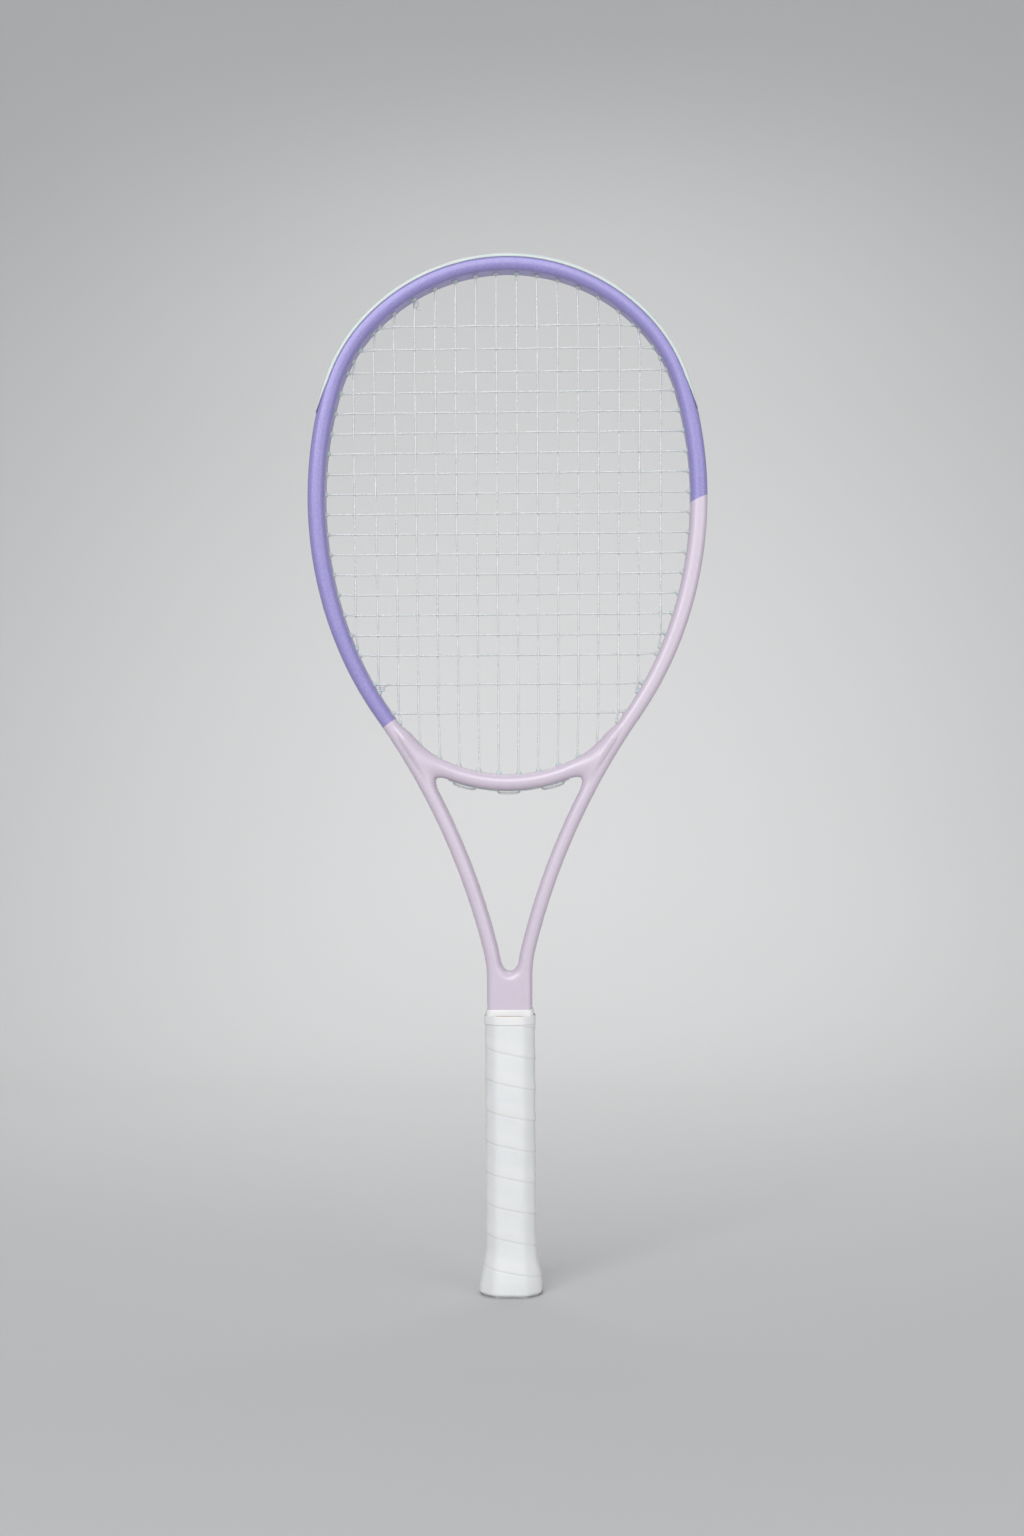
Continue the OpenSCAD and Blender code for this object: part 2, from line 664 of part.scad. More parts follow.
// The staples' backs lie this deep in the butt cap's rim.
staple_sink = 0.8;
staple_back_t = 0.8;
staple_z = cap_h - 3.5;
tack_z = 5;
tack_r = 2.4;
tack_t = 0.5;
tack_shank = 5;
module pallet(side) {
    color([0.72, 0.66, 0.5])
    difference() {
        union() {
            eight_bar(0, cap_h + seat_gap, pallet_top_z);
            eight_bar(-cap_wall - seat_gap, pallet_low_z, cap_h + seat_gap);
        }
        translate([0, 0, pallet_low_z - 1])
            linear_extrude(height = pallet_top_z)
            polygon(rounded(-tail_w / 2 - seat_gap, tail_w / 2 + seat_gap, tail_d + 2 * seat_gap, cavity_corner));
        translate([-pallet_w, side > 0 ? seat_gap / 2 - pallet_d : -seat_gap / 2, 0])
            cube([2 * pallet_w, pallet_d, pallet_top_z + 1]);
        staple_cuts();
    }
}
module pallet_front() {
    pallet(-1);
}
module pallet_back() {
    pallet(1);
}
module handle_foam() {
    foam_l = 90;
    color([0.9, 0.86, 0.7])
    translate([0, 0, tail_low_z + 8])
        linear_extrude(height = foam_l)
        polygon(rounded(wall + seat_gap - tail_w / 2, tail_w / 2 - wall - seat_gap,
            tail_d - 2 * wall - 2 * seat_gap, 1));
}
wrap_low_z = 1.6;
wrap_top_z = pallet_top_z;
wrap_levels = concat([[wrap_low_z, 0]], [for (q = cap_profile) if (q[0] > wrap_low_z) q],
    [[wrap_top_z, -flare]]);
module wrap(from, thick) {
    difference() {
        skin([for (q = wrap_levels) level(eight(flare + q[1] + from + thick), q[0])]);
        skin([for (q = wrap_levels)
            level(eight(flare + q[1] + from),
                q[0] + (q[0] == wrap_low_z ? -0.5 : q[0] == wrap_top_z ? 0.5 : 0))]);
    }
}
module base_grip() {
    color([0.2, 0.2, 0.22])
    difference() {
        wrap(seat_gap, base_grip_t);
        translate([0, 0, tack_z])
            rotate([0, 90, 0])
            cylinder(r = tack_r + seat_gap, h = 2 * pallet_w);
    }
}
overgrip_from = 2 * seat_gap + base_grip_t;
module overgrip() {
    color([0.9, 0.9, 0.91]) wrap(overgrip_from, overgrip_t);
}
tape_t = 0.25;
module finishing_tape() {
    tape_h = 6;
    from = overgrip_from + overgrip_t + seat_gap;
    color([0.93, 0.93, 0.94])
    difference() {
        eight_bar(from + tape_t, wrap_top_z - tape_h, wrap_top_z);
        eight_bar(from, wrap_top_z - tape_h - 1, wrap_top_z + 1);
    }
}
module grip_collar() {
    collar_h = 4;
    collar_t = 0.5;
    color([0.95, 0.95, 0.95])
    translate([0, 0, wrap_top_z + seat_gap])
        linear_extrude(height = collar_h)
        difference() {
            polygon(rounded(-shaft_w / 2 - seat_gap - collar_t, shaft_w / 2 + seat_gap + collar_t,
                shaft_d + 2 * seat_gap + 2 * collar_t, shaft_corner));
            polygon(rounded(-shaft_w / 2 - seat_gap, shaft_w / 2 + seat_gap, shaft_d + 2 * seat_gap,
                shaft_corner));
        }
}

// ---------- butt cap ----------
door_low_z = 0.5;
pin_z = door_low_z + door_t / 2;
pin_y = door_l / 2;
pin_play = 0.06;
pin_seat = 2.4;
lip = 0.9;
module butt_cap() {
    hole_y0 = pin_y - door_l - door_gap;
    hole_y1 = pin_y + door_t / 2 + door_gap;
    color([0.92, 0.92, 0.93])
    difference() {
        cap_outer();
        eight_bar(-cap_wall, floor_t, cap_h + 1);
        translate([-door_w / 2 - door_gap, hole_y0, -1])
            cube([door_w + 2 * door_gap, hole_y1 - hole_y0, 1 + door_low_z + door_t + door_gap / 2]);
        translate([lip - door_w / 2, hole_y0 + lip + door_gap, 0])
            cube([door_w - 2 * lip, hole_y1 - hole_y0 - 2 * lip - 2 * door_gap, floor_t + 1]);
        translate([0, pin_y, pin_z])
            rotate([0, 90, 0])
            cylinder(r = pin_dia / 2 + 0.02, h = door_w + 2 * pin_seat + 0.2, center = true);
        translate([0, hole_y0, -0.01])
            cylinder(r = 2.4, h = 1.2);
        staple_cuts();
        translate([0, 0, tack_z])
            rotate([0, 90, 0])
            cylinder(r = 0.5 + seat_gap, h = 2 * pallet_w, $fn = 24);
    }
}
module trap_door() {
    color([0.85, 0.85, 0.86])
    difference() {
        union() {
            translate([-door_w / 2, pin_y - door_l, door_low_z])
                cube([door_w, door_l, door_t]);
            translate([0, pin_y, pin_z])
                rotate([0, 90, 0])
                cylinder(r = door_t / 2, h = door_w, center = true);
        }
        translate([0, pin_y, pin_z])
            rotate([0, 90, 0])
            cylinder(r = pin_dia / 2 + pin_play, h = door_w + 2, center = true);
    }
}
module trap_door_pin() {
    color([0.7, 0.7, 0.72])
    translate([0, pin_y, pin_z])
        rotate([0, 90, 0])
        cylinder(r = pin_dia / 2, h = door_w + 2 * pin_seat, center = true);
}
module cap_staples() {
    color([0.75, 0.75, 0.77])
    for (side = [-1, 1]) {
        for (x = [-staple_w / 2, staple_w / 2])
            translate([x, side * (pallet_d / 2 - staple_sink / 2), staple_z])
                rotate([side * 90, 0, 0])
                cylinder(r = staple_wire / 2, h = staple_leg, $fn = 24);
        translate([0, side * (pallet_d / 2 + staple_back_t / 2 + seat_gap - staple_sink), staple_z])
            cube([staple_w + staple_wire, staple_back_t, staple_wire], center = true);
    }
}
module grip_tack() {
    out = pallet_w / 2 + flare + seat_gap;
    color([0.72, 0.72, 0.74]) {
        translate([out + 0.2, 0, tack_z])
            rotate([0, 90, 0])
            cylinder(r = tack_r, h = tack_t);
        translate([out + 0.2 - tack_shank, 0, tack_z])
            rotate([0, 90, 0])
            cylinder(r = 0.5, h = tack_shank, $fn = 24);
    }
}

hoop_tube();
throat_arm_left();
throat_arm_right();
throat_bridge();
shaft();
bumper_guard();
grommet_strip_left();
grommet_strip_right();
throat_grommet_strip();
main_string();
cross_string();
pallet_front();
pallet_back();
handle_foam();
base_grip();
overgrip();
finishing_tape();
grip_collar();
butt_cap();
trap_door();
trap_door_pin();
cap_staples();
grip_tack();
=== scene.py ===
# %% [markdown]
# # A tennis racket
# A racket is a hollow moulded frame, a bed of woven strings held by plastic grommets, and a handle:
# two foam halves, a cushioned grip and a thin tape wound over it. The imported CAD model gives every
# size, and this script gives each piece its finished surface. Everything is in metres, with the butt
# end's middle at the origin, +Z up the handle, X across the face and Y through the frame.

import bmesh
import bpy
import numpy as np
from mathutils import Matrix, Vector


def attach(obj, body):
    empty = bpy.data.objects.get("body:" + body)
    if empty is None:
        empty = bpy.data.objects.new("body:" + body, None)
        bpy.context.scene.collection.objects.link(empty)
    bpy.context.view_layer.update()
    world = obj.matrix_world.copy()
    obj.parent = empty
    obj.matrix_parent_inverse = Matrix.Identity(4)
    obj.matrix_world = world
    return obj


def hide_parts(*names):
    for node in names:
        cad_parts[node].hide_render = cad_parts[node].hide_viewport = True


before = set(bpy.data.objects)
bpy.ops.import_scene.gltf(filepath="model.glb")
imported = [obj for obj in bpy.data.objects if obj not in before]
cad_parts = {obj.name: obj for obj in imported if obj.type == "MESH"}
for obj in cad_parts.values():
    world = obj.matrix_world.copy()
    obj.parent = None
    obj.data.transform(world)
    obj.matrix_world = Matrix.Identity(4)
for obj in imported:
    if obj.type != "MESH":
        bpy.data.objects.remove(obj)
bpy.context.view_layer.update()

# %% [markdown]
# ## Camera, floor and light
# The racket stands on its butt end on a pale sweep: a floor that curves up into a wall, so that no
# horizon shows. The camera looks level at the middle of the racket from the front. One big soft light
# stands high on the left, a weaker one fills the right, and the wall gets a light of its own, because
# that makes its middle brighter than its corners.

# %% Camera
MM = 0.001
scene = bpy.context.scene
scene.view_settings.view_transform = "Standard"
scene.render.film_transparent = False


def look_at(thing, target, roll=0.0):
    """Turns a camera or light so that its own -Z points at the target, then rolls it about that line."""
    way = Vector(target) - thing.location
    turn = way.to_track_quat("-Z", "Y").to_matrix() @ Matrix.Rotation(roll, 3, "Z")
    thing.rotation_euler = turn.to_euler()


camera_data = bpy.data.cameras.new("camera")
camera = bpy.data.objects.new("camera", camera_data)
scene.collection.objects.link(camera)
scene.camera = camera
camera_data.lens = 51.35
camera_data.clip_end = 20
AZIMUTH = np.radians(2.0)
aim = np.array([0.0022, 0.0, 0.347])
camera.location = aim + 1.45 * np.array([np.sin(AZIMUTH), -np.cos(AZIMUTH), 0.0])
look_at(camera, aim, roll=np.radians(-0.3))
print("camera at", [round(c, 3) for c in camera.location])

# %% Light


def area_light(name, place, target, size, power, spread=180):
    """A rectangular soft light of that size (width, height) and power, turned to the target. spread
    narrows its beam, in degrees."""
    data = bpy.data.lights.new(name, "AREA")
    data.shape = "RECTANGLE"
    data.size, data.size_y = size
    data.energy = power
    data.spread = np.radians(spread)
    light = bpy.data.objects.new(name, data)
    scene.collection.objects.link(light)
    light.location = place
    look_at(light, target)
    return light


area_light("key_light", (-0.65, -2.2, 1.5), (0, 0, 0.35), (1.8, 1.2), 38)
area_light("fill_light", (1.5, -1.7, 0.7), (0, 0, 0.35), (1.4, 1.4), 11)
area_light("wall_light", (0.0, 0.75, 1.5), (0.0, 1.3, 0.1), (1.0, 0.5), 6.5, spread=125)
world = bpy.data.worlds.new("studio")
scene.world = world
world.use_nodes = True
world.node_tree.nodes["Background"].inputs["Color"].default_value = (0.97, 0.98, 1.0, 1)
world.node_tree.nodes["Background"].inputs["Strength"].default_value = 0.46

# %% [markdown]
# ## Helpers
# Most pieces are grids: rows of points that go along the piece, each row going once round its
# section. One function turns such a grid into a closed mesh, with a UV map that measures metres along
# and round the surface, so that a pattern can follow it.

# %% Meshes from grids


def put_mesh(name, points, faces, uv=None, sharp=None, sheet=False):
    """Makes an object from points and faces. uv is one pair per point; sharp is the angle in degrees
    past which an edge stays crisp. Every closed shell is turned so that its faces point outwards; sheet
    says that the surface is open and stays as it is."""
    mesh = bpy.data.meshes.new(name)
    mesh.from_pydata(np.asarray(points, float).tolist(), [], [list(map(int, f)) for f in faces])
    if not sheet:
        shell = bmesh.new()
        shell.from_mesh(mesh)
        bmesh.ops.recalc_face_normals(shell, faces=shell.faces)
        if shell.calc_volume(signed=True) < 0:
            bmesh.ops.reverse_faces(shell, faces=shell.faces)
        shell.to_mesh(mesh)
        shell.free()
    mesh.shade_smooth()
    if uv is not None:
        layer = mesh.uv_layers.new(name="UVMap")
        corners = np.empty(len(mesh.loops), np.int32)
        mesh.loops.foreach_get("vertex_index", corners)
        layer.data.foreach_set("uv", np.asarray(uv, np.float32)[corners].ravel())
    if sharp is not None:
        mesh.set_sharp_from_angle(angle=np.radians(sharp))
    mesh.update()
    thing = bpy.data.objects.new(name, mesh)
    scene.collection.objects.link(thing)
    return thing


def grid_faces(rows, cols, closed=True, looped=False):
    """Quads between neighbouring rows of a grid. closed joins the last column to the first, and looped
    the last row to the first."""
    r = np.arange(rows if looped else rows - 1)[:, None]
    c = np.arange(cols if closed else cols - 1)[None, :]
    a = r * cols + c
    b = r * cols + (c + 1) % cols
    up = ((r + 1) % rows) * cols
    quads = np.stack([a, b, up + (c + 1) % cols, up + c], -1)
    return quads.reshape(-1, 4)


def solid_of(rings):
    """Points and faces of a closed tube over rings of shape (rows, points, 3): quads along it and one
    flat face on each end."""
    rows, cols = rings.shape[:2]
    faces = [tuple(f) for f in grid_faces(rows, cols)]
    faces += [tuple(range(cols))[::-1], tuple(range((rows - 1) * cols, rows * cols))]
    return rings.reshape(-1, 3), faces


def tube_mesh(name, rings, sharp=None):
    """An object that is a closed tube over rings. Its UV map holds the distance along the middle and the
    distance round."""
    points, faces = solid_of(rings)
    cols = rings.shape[1]
    middle = rings.mean(1)
    along = np.r_[0, np.cumsum(np.linalg.norm(np.diff(middle, axis=0), axis=1))]
    size = np.linalg.norm(rings - np.roll(rings, 1, 1), axis=2).sum(1).mean()
    round_it = np.arange(cols) / cols * size
    uv = np.stack(np.meshgrid(along, round_it, indexing="ij"), -1).reshape(-1, 2)
    return put_mesh(name, points, faces, uv, sharp)


def join_parts(parts):
    """Puts (points, faces) pairs after each other in one list of points and one of faces."""
    points, faces, start = [], [], 0
    for p, f in parts:
        points.append(np.asarray(p).reshape(-1, 3))
        faces += [tuple(int(i) + start for i in q) for q in f]
        start += len(points[-1])
    return np.concatenate(points), faces


def smooth_step(low, high, x):
    """0 below low, 1 above high, with a smooth S in between."""
    t = np.clip((x - low) / (high - low), 0, 1)
    return t * t * (3 - 2 * t)


# %% [markdown]
# ## The outline of the racket
# The head is an oval of arcs that run into each other without a kink, and each throat arm is two
# hollow arcs down to the shaft. A place on the outline is named by its heading: the turn of the
# outward normal from straight up. These are the same arcs as in the CAD model.

# %% Arcs
OVERALL = 685.8 * MM
RADII = np.array([131, 111, 265, 247]) * MM
STARTS = np.radians([0, 48, 74, 105, 125])
TUBE_W = 11 * MM
TUBE_D = 23 * MM
ARM_RADII = np.array([458.317, 77.154]) * MM
ARM_CENTRES = np.array([[461.977, 116.522], [91.954, 208.0]]) * MM
ARM_HEADINGS = np.radians([[103.886, 125], [90, 103.886]])
SHAFT_TOP = 208 * MM
SHAFT_W = 29.6 * MM
SHAFT_D = 21 * MM
BRIDGE_C = np.array([0, 442.72]) * MM
BRIDGE_R = 99.909 * MM
BRIDGE_W = 10.5 * MM
BRIDGE_D = 20 * MM


def normal_at(heading):
    """The outward normal (x, z) at a heading."""
    return np.stack([np.sin(heading), np.cos(heading)], -1)


centres = [np.array([0, OVERALL - RADII[0]])]
for k in range(3):
    centres.append(centres[k] + (RADII[k] - RADII[k + 1]) * normal_at(STARTS[k + 1]))
CENTRES = np.array(centres)


def on_head(heading, out=0.0):
    """Points (x, z) at that distance outside the head's outline: centre + (radius + out) x normal, on
    the arc that the heading falls in, mirrored for headings to the left."""
    h = np.abs(heading)
    k = np.clip(np.searchsorted(STARTS, h, side="right") - 1, 0, 3)
    p = CENTRES[k] + (RADII[k] + out)[..., None] * normal_at(h)
    p[..., 0] *= np.where(heading < 0, -1, 1)
    return p


print("head is", round(2 * on_head(np.radians(np.array([90.0])))[0, 0] / MM, 1), "mm wide")

# Each arc as: centre, radius, first and last heading, whether it is hollow, and how far along it starts.
ARCS = [(CENTRES[k], RADII[k], STARTS[k], STARTS[k + 1], False) for k in range(4)]
ARCS += [(ARM_CENTRES[k], ARM_RADII[k], *ARM_HEADINGS[k], True) for k in range(2)]
length_before = np.r_[0, np.cumsum([a[1] * (a[3] - a[2]) for a in ARCS])]


def nearest_on_outline(x, z):
    """For each point: the signed distance outside the outline, and the distance along it from the top
    of the head to the foot of the arm. Below the arm's foot the outline goes straight down."""
    x = np.abs(x)
    best = np.full(x.shape, np.inf)
    out = np.zeros(x.shape)
    along = np.zeros(x.shape)
    for k, (c, r, h0, h1, hollow) in enumerate(ARCS):
        dx, dz = (c[0] - x, c[1] - z) if hollow else (x - c[0], z - c[1])
        h = np.clip(np.arctan2(dx, dz), h0, h1)
        sign = -1 if hollow else 1
        qx = c[0] + sign * r * np.sin(h) - 0.5 * TUBE_W * np.sin(h)
        qz = c[1] + sign * r * np.cos(h) - 0.5 * TUBE_W * np.cos(h)
        far = np.hypot(x - qx, z - qz)
        u = sign * (np.hypot(dx, dz) - r)
        step = (h1 - h) * r if hollow else (h - h0) * r
        nearer = far < best - 1e-9
        best = np.where(nearer, far, best)
        out = np.where(nearer, u, out)
        along = np.where(nearer, length_before[k] + step, along)
    low = z < SHAFT_TOP
    far = np.abs(x - SHAFT_W / 2 + TUBE_W / 2)
    nearer = low & (far < best)
    out = np.where(nearer, x - SHAFT_W / 2, out)
    along = np.where(nearer, length_before[-1] + SHAFT_TOP - z, along)
    return out, along


# %% [markdown]
# ## The frame's skin
# The real frame is one moulding: a carbon tube bent round the head, with a bridge across the throat,
# painted and clear-coated, so it has no seams. Separate tubes would show a hard line where the bridge
# meets the arms. So the skin is worked out as a distance formula: how far a point is from each tube,
# joined with a soft minimum that fills the corners. A coarse skin of the tubes is remeshed, and then
# every vertex is moved to where the formula is zero.

# %% The distance formula
GUARD_H = np.radians(78)
SEAT = 2.7 * MM
GROOVE_W = 9.4 * MM
guard_along = length_before[2] + (GUARD_H - STARTS[2]) * RADII[2]
strip_along = length_before[4] + 0.55 * (ARM_HEADINGS[0, 1] - ARM_HEADINGS[0, 0]) * ARM_RADII[0]
head_along = length_before[4]
foot_along = length_before[6]
SKIN_LOW = 184.2 * MM
BRIDGE_TURN = np.radians(41)
TAPER = 24 * MM
WEB_TOP = 211.2 * MM
WEB_HALF_W = 10 * MM
TUBE_CORNER = 4.2 * MM
BRIDGE_CORNER = 5.1 * MM


def seat_depth(along):
    """How far the guard's seat is cut into the tube: full over the head, and ramping out at its ends."""
    return SEAT * np.clip((guard_along - along) / TAPER, 0, 1) ** 0.9


def soft_min(a, b, k):
    """The smaller of two distances, with their corner filled over a width of k."""
    h = np.clip(0.5 + 0.5 * (b - a) / k, 0, 1)
    return b * (1 - h) + a * h - k * h * (1 - h)


def rounded_box(u, v, r):
    """Distance from a box's corner region, where u and v are distances past its sides and r rounds it."""
    qu, qv = u + r, v + r
    return np.hypot(np.maximum(qu, 0), np.maximum(qv, 0)) + np.minimum(np.maximum(qu, qv), 0) - r


def tube_width(along):
    """The tube's width across the face: full round the head, a little less down the arms."""
    slimmer = smooth_step(head_along - 110 * MM, head_along + 10 * MM, along)
    slimmer = 0.9 * MM * slimmer + 0.7 * MM * smooth_step(head_along, head_along + 60 * MM, along)
    return TUBE_W - slimmer


def tube_depth(along):
    """The tube's depth: full round the head, a little less down the arms and at the shaft."""
    return (TUBE_D - 1.0 * MM * smooth_step(head_along - 20 * MM, head_along + 40 * MM, along)
        - 1.0 * MM * smooth_step(foot_along - 60 * MM, foot_along, along))


def frame_distance(p):
    """The distance of points p outside the frame's skin. The silhouette of the tube and shaft is one
    flat distance, rounded off towards the faces; the bridge is a rounder tube; a soft minimum joins
    them on the throat's side only. The guard's seat and the grommet strips' groove are cut out."""
    x, y, z = p[:, 0], np.abs(p[:, 1]), p[:, 2]
    out, along = nearest_on_outline(x, z)
    w, d = tube_width(along), tube_depth(along)
    side = np.abs(out + w / 2) - w / 2
    inner = 1 - smooth_step(-0.75, -0.35, out / w)
    shaft_fill = np.maximum(np.abs(x) - WEB_HALF_W, z - WEB_TOP)
    flat = soft_min(side, shaft_fill, 0.4 * MM + 9.5 * MM * inner)
    crown = 0.5 * MM * np.clip((out + w / 2) / (w / 2), -1, 1) ** 2
    crown = crown * smooth_step(SHAFT_TOP - 5 * MM, SHAFT_TOP + 25 * MM, z)
    tube = rounded_box(flat, y + crown - d / 2, TUBE_CORNER)
    bx, bz = np.abs(x), z - BRIDGE_C[1]
    turn = np.clip(np.arctan2(bx, -bz), 0, BRIDGE_TURN)
    ux, uz = (BRIDGE_R + BRIDGE_W / 2) * np.sin(turn), -(BRIDGE_R + BRIDGE_W / 2) * np.cos(turn)
    radial = np.hypot(bx - ux, bz - uz)
    bridge = rounded_box(radial - BRIDGE_W / 2, y - BRIDGE_D / 2, BRIDGE_CORNER)
    whole = soft_min(tube, bridge, 0.5 * MM + 11 * MM * inner)
    seat = out + seat_depth(along)
    depth = SEAT * (1 - smooth_step(strip_along - 1 * MM, strip_along + 6 * MM, along))
    groove = np.minimum(out + depth, GROOVE_W / 2 - y)
    groove = np.where((along >= guard_along) & (depth > 0.05 * MM), groove, -1.0)
    return np.maximum(np.maximum(whole, seat), np.maximum(groove, SKIN_LOW - z))


def settle(points, rounds=4, step=0.02 * MM, reach=0.8 * MM):
    """Moves points along the formula's slope until it is zero: point - distance x slope / slope squared."""
    for _ in range(rounds):
        f = frame_distance(points)
        slope = np.stack([
            frame_distance(points + step * axis) - frame_distance(points - step * axis)
            for axis in np.eye(3)], -1) / (2 * step)
        size = np.maximum((slope ** 2).sum(1), 0.25)
        points = points - np.clip(f, -reach, reach)[:, None] * slope / size[:, None]
    return points


# %% The coarse tubes


def section_ring(w, d, r, steps=6):
    """A rounded rectangle of points (u, v), w wide and d deep."""
    a = np.radians(np.concatenate([np.linspace(0, 90, steps) + 90 * q for q in range(4)]))
    cu = np.repeat([1, -1, -1, 1], steps) * (w / 2 - r)
    cv = np.repeat([1, 1, -1, -1], steps) * (d / 2 - r)
    return cu + r * np.cos(a), cv + r * np.sin(a)


def swept(path, normals, ring):
    """Rings of a section carried along a path in the X-Z plane: point + u x normal, and v through Y."""
    u, v = ring
    p = path[:, None, :] + u[None, :, None] * normals[:, None, :]
    return np.stack([p[..., 0], np.broadcast_to(v, p.shape[:2]), p[..., 1]], -1)


def outline_path(out):
    """The whole outline from the foot of the left arm over the head to the foot of the right arm."""
    head = np.radians(np.linspace(-125, 125, 301))
    arm_parts = []
    for c, (h0, h1), r in zip(ARM_CENTRES, ARM_HEADINGS, ARM_RADII):
        h = np.linspace(h1, h0, 60)[1:]
        arm_parts.append((c - (r - out) * normal_at(h), normal_at(h)))
    low = np.linspace(SHAFT_TOP, SKIN_LOW + 2 * MM, 8)[1:]
    arm_parts.append((np.stack([np.full(7, SHAFT_W / 2 + out), low], -1), np.tile([1.0, 0.0], (7, 1))))
    arm_p = np.concatenate([a[0] for a in arm_parts])
    arm_n = np.concatenate([a[1] for a in arm_parts])
    flip = np.array([-1.0, 1.0])
    n = normal_at(head)
    path = np.concatenate([(arm_p * flip)[::-1], on_head(head, out), arm_p])
    return path, np.concatenate([(arm_n * flip)[::-1], n, arm_n])


rim_path, rim_normals = outline_path(-TUBE_W / 2)
rim = swept(rim_path, rim_normals, section_ring(TUBE_W, TUBE_D - 1 * MM, 3 * MM))
turn = np.linspace(-BRIDGE_TURN, BRIDGE_TURN, 90)
bridge_path = BRIDGE_C - (BRIDGE_R + BRIDGE_W / 2) * normal_at(turn)
bridge = swept(bridge_path, -normal_at(turn), section_ring(BRIDGE_W, BRIDGE_D, 4 * MM))[:, ::-1]
web_path = np.stack([np.zeros(12), np.linspace(SKIN_LOW + 1 * MM, 214 * MM, 12)], -1)
web = swept(web_path, np.tile([1.0, 0.0], (12, 1)), section_ring(SHAFT_W - 6 * MM, SHAFT_D - 1 * MM, 3 * MM))
points, faces = join_parts([solid_of(rim), solid_of(bridge), solid_of(web)])
rough = put_mesh("rough_frame", points, faces)

# %% Remesh, smooth and settle


def applied(thing):
    """Replaces an object's mesh with the result of its modifiers."""
    graph = bpy.context.evaluated_depsgraph_get()
    mesh = bpy.data.meshes.new_from_object(thing.evaluated_get(graph))
    thing.modifiers.clear()
    old = thing.data
    thing.data = mesh
    bpy.data.meshes.remove(old)
    return thing


def vertices_of(mesh):
    """A mesh's vertices as an array."""
    flat = np.empty(len(mesh.vertices) * 3)
    mesh.vertices.foreach_get("co", flat)
    return flat.reshape(-1, 3)


frame_skin = rough
frame_skin.name = "frame_skin"
voxels = frame_skin.modifiers.new("voxels", "REMESH")
voxels.mode = "VOXEL"
voxels.voxel_size = 1.1 * MM
even = frame_skin.modifiers.new("even", "SMOOTH")
even.factor = 0.5
even.iterations = 5
applied(frame_skin)
skin_points = settle(vertices_of(frame_skin.data), rounds=5)
frame_skin.data.vertices.foreach_set("co", skin_points.ravel())
frame_skin.data.shade_smooth()
frame_skin.data.update()
print("frame skin:", len(frame_skin.data.vertices), "vertices, left over",
    round(float(np.abs(frame_distance(skin_points)).max() / MM), 3), "mm")

# %% [markdown]
# ## The bumper guard and the grommets
# A nylon guard caps the top of the head, where the racket scrapes the court. Its section is a flat
# band with rounded edges and a channel down the middle, where the strings' outside loops lie. It could
# be a CAD solid with a bevel, but a profile carried along the outline keeps its edges soft and lets
# its ends slope down to the tube.

# %% Guard
GUARD_END = np.radians(77.7)
guard_h = np.linspace(-GUARD_END, GUARD_END, 421)


def guard_profile():
    """The guard's section (u, v) in millimetres, going round it: u is how far out, v runs through Y."""
    edge = np.radians(np.linspace(0, 90, 7))
    corner = np.stack([-1.6 + 1.6 * np.sin(edge), 9.9 + 1.6 * np.cos(edge)], -1)
    half = np.concatenate([[[-2.62, 11.3], [-2.3, 11.5]], corner, [[0, 6], [0, 2.9], [-0.25, 2.5],
        [-1.5, 2.4], [-1.8, 2.1]]])
    other = half[::-1] * [1, -1]
    return np.concatenate([half, other]) * MM


profile = guard_profile()
guard_s = np.interp(np.abs(guard_h), STARTS, length_before[:5])
foot = 0.08 * MM - seat_depth(guard_s)
u = profile[:, 0][None, :] * (-foot / (2.62 * MM))[:, None]
base = on_head(guard_h)
n = normal_at(guard_h)
rings = np.stack([base[:, 0][:, None] + u * n[:, 0][:, None],
    np.broadcast_to(profile[:, 1], u.shape),
    base[:, 1][:, None] + u * n[:, 1][:, None]], -1)
guard = tube_mesh("guard", rings, sharp=55)
print("guard:", len(guard.data.vertices), "vertices")

# %% [markdown]
# ## Where the strings meet the frame
# Each string end is a place on the inner wall and the wall's outward direction there. Upright strings
# are evenly spaced at the top and a little closer at the throat; level strings are evenly spaced but
# for the outermost gaps. The places come from the same rules as the CAD model's.

# %% String ends
MAINS, CROSSES = 16, 19
STRING_R = 0.65 * MM
WEAVE = 0.75 * MM
MARGIN_TOP, MARGIN_LOW, OUTER_SPREAD = 18.8 * MM, 21.8 * MM, 1.8 * MM
CROSS_DROP, CROSS_RISE = 46 * MM, 40.6 * MM
PITCH_HIGH, PITCH_LOW = 15.2 * MM, 19.2 * MM
BRIDGE_REACH = 71 * MM

head_h = np.radians(np.linspace(0, 125, 2501))
head_s = np.interp(head_h, STARTS, length_before[:5])
arm_h = np.linspace(ARM_HEADINGS[0, 1], ARM_HEADINGS[0, 0], 600)
arm_s = length_before[4] + (ARM_HEADINGS[0, 1] - arm_h) * ARM_RADII[0]
wall_p = np.concatenate([on_head(head_h, -tube_width(head_s)),
    ARM_CENTRES[0] - (ARM_RADII[0] + tube_width(arm_s))[:, None] * normal_at(arm_h)])
wall_h = np.concatenate([head_h, arm_h])
wall_s = np.concatenate([head_s, arm_s])
half_w = on_head(np.radians(np.array([90.0])), -TUBE_W)[0, 0]
index = np.arange(MAINS) - (MAINS - 1) / 2
main_top_x = index * (half_w - MARGIN_TOP) / index[-1]
main_low_x = index * (half_w - MARGIN_LOW) / index[-1]
main_low_x[[0, -1]] += np.array([-1, 1]) * OUTER_SPREAD
even_gaps = CROSSES - 5
gaps = np.array([PITCH_HIGH] * 2 + [0.0] * even_gaps + [PITCH_LOW] * 2)
level_span = OVERALL - CROSS_DROP - (BRIDGE_C[1] - BRIDGE_R) - CROSS_RISE
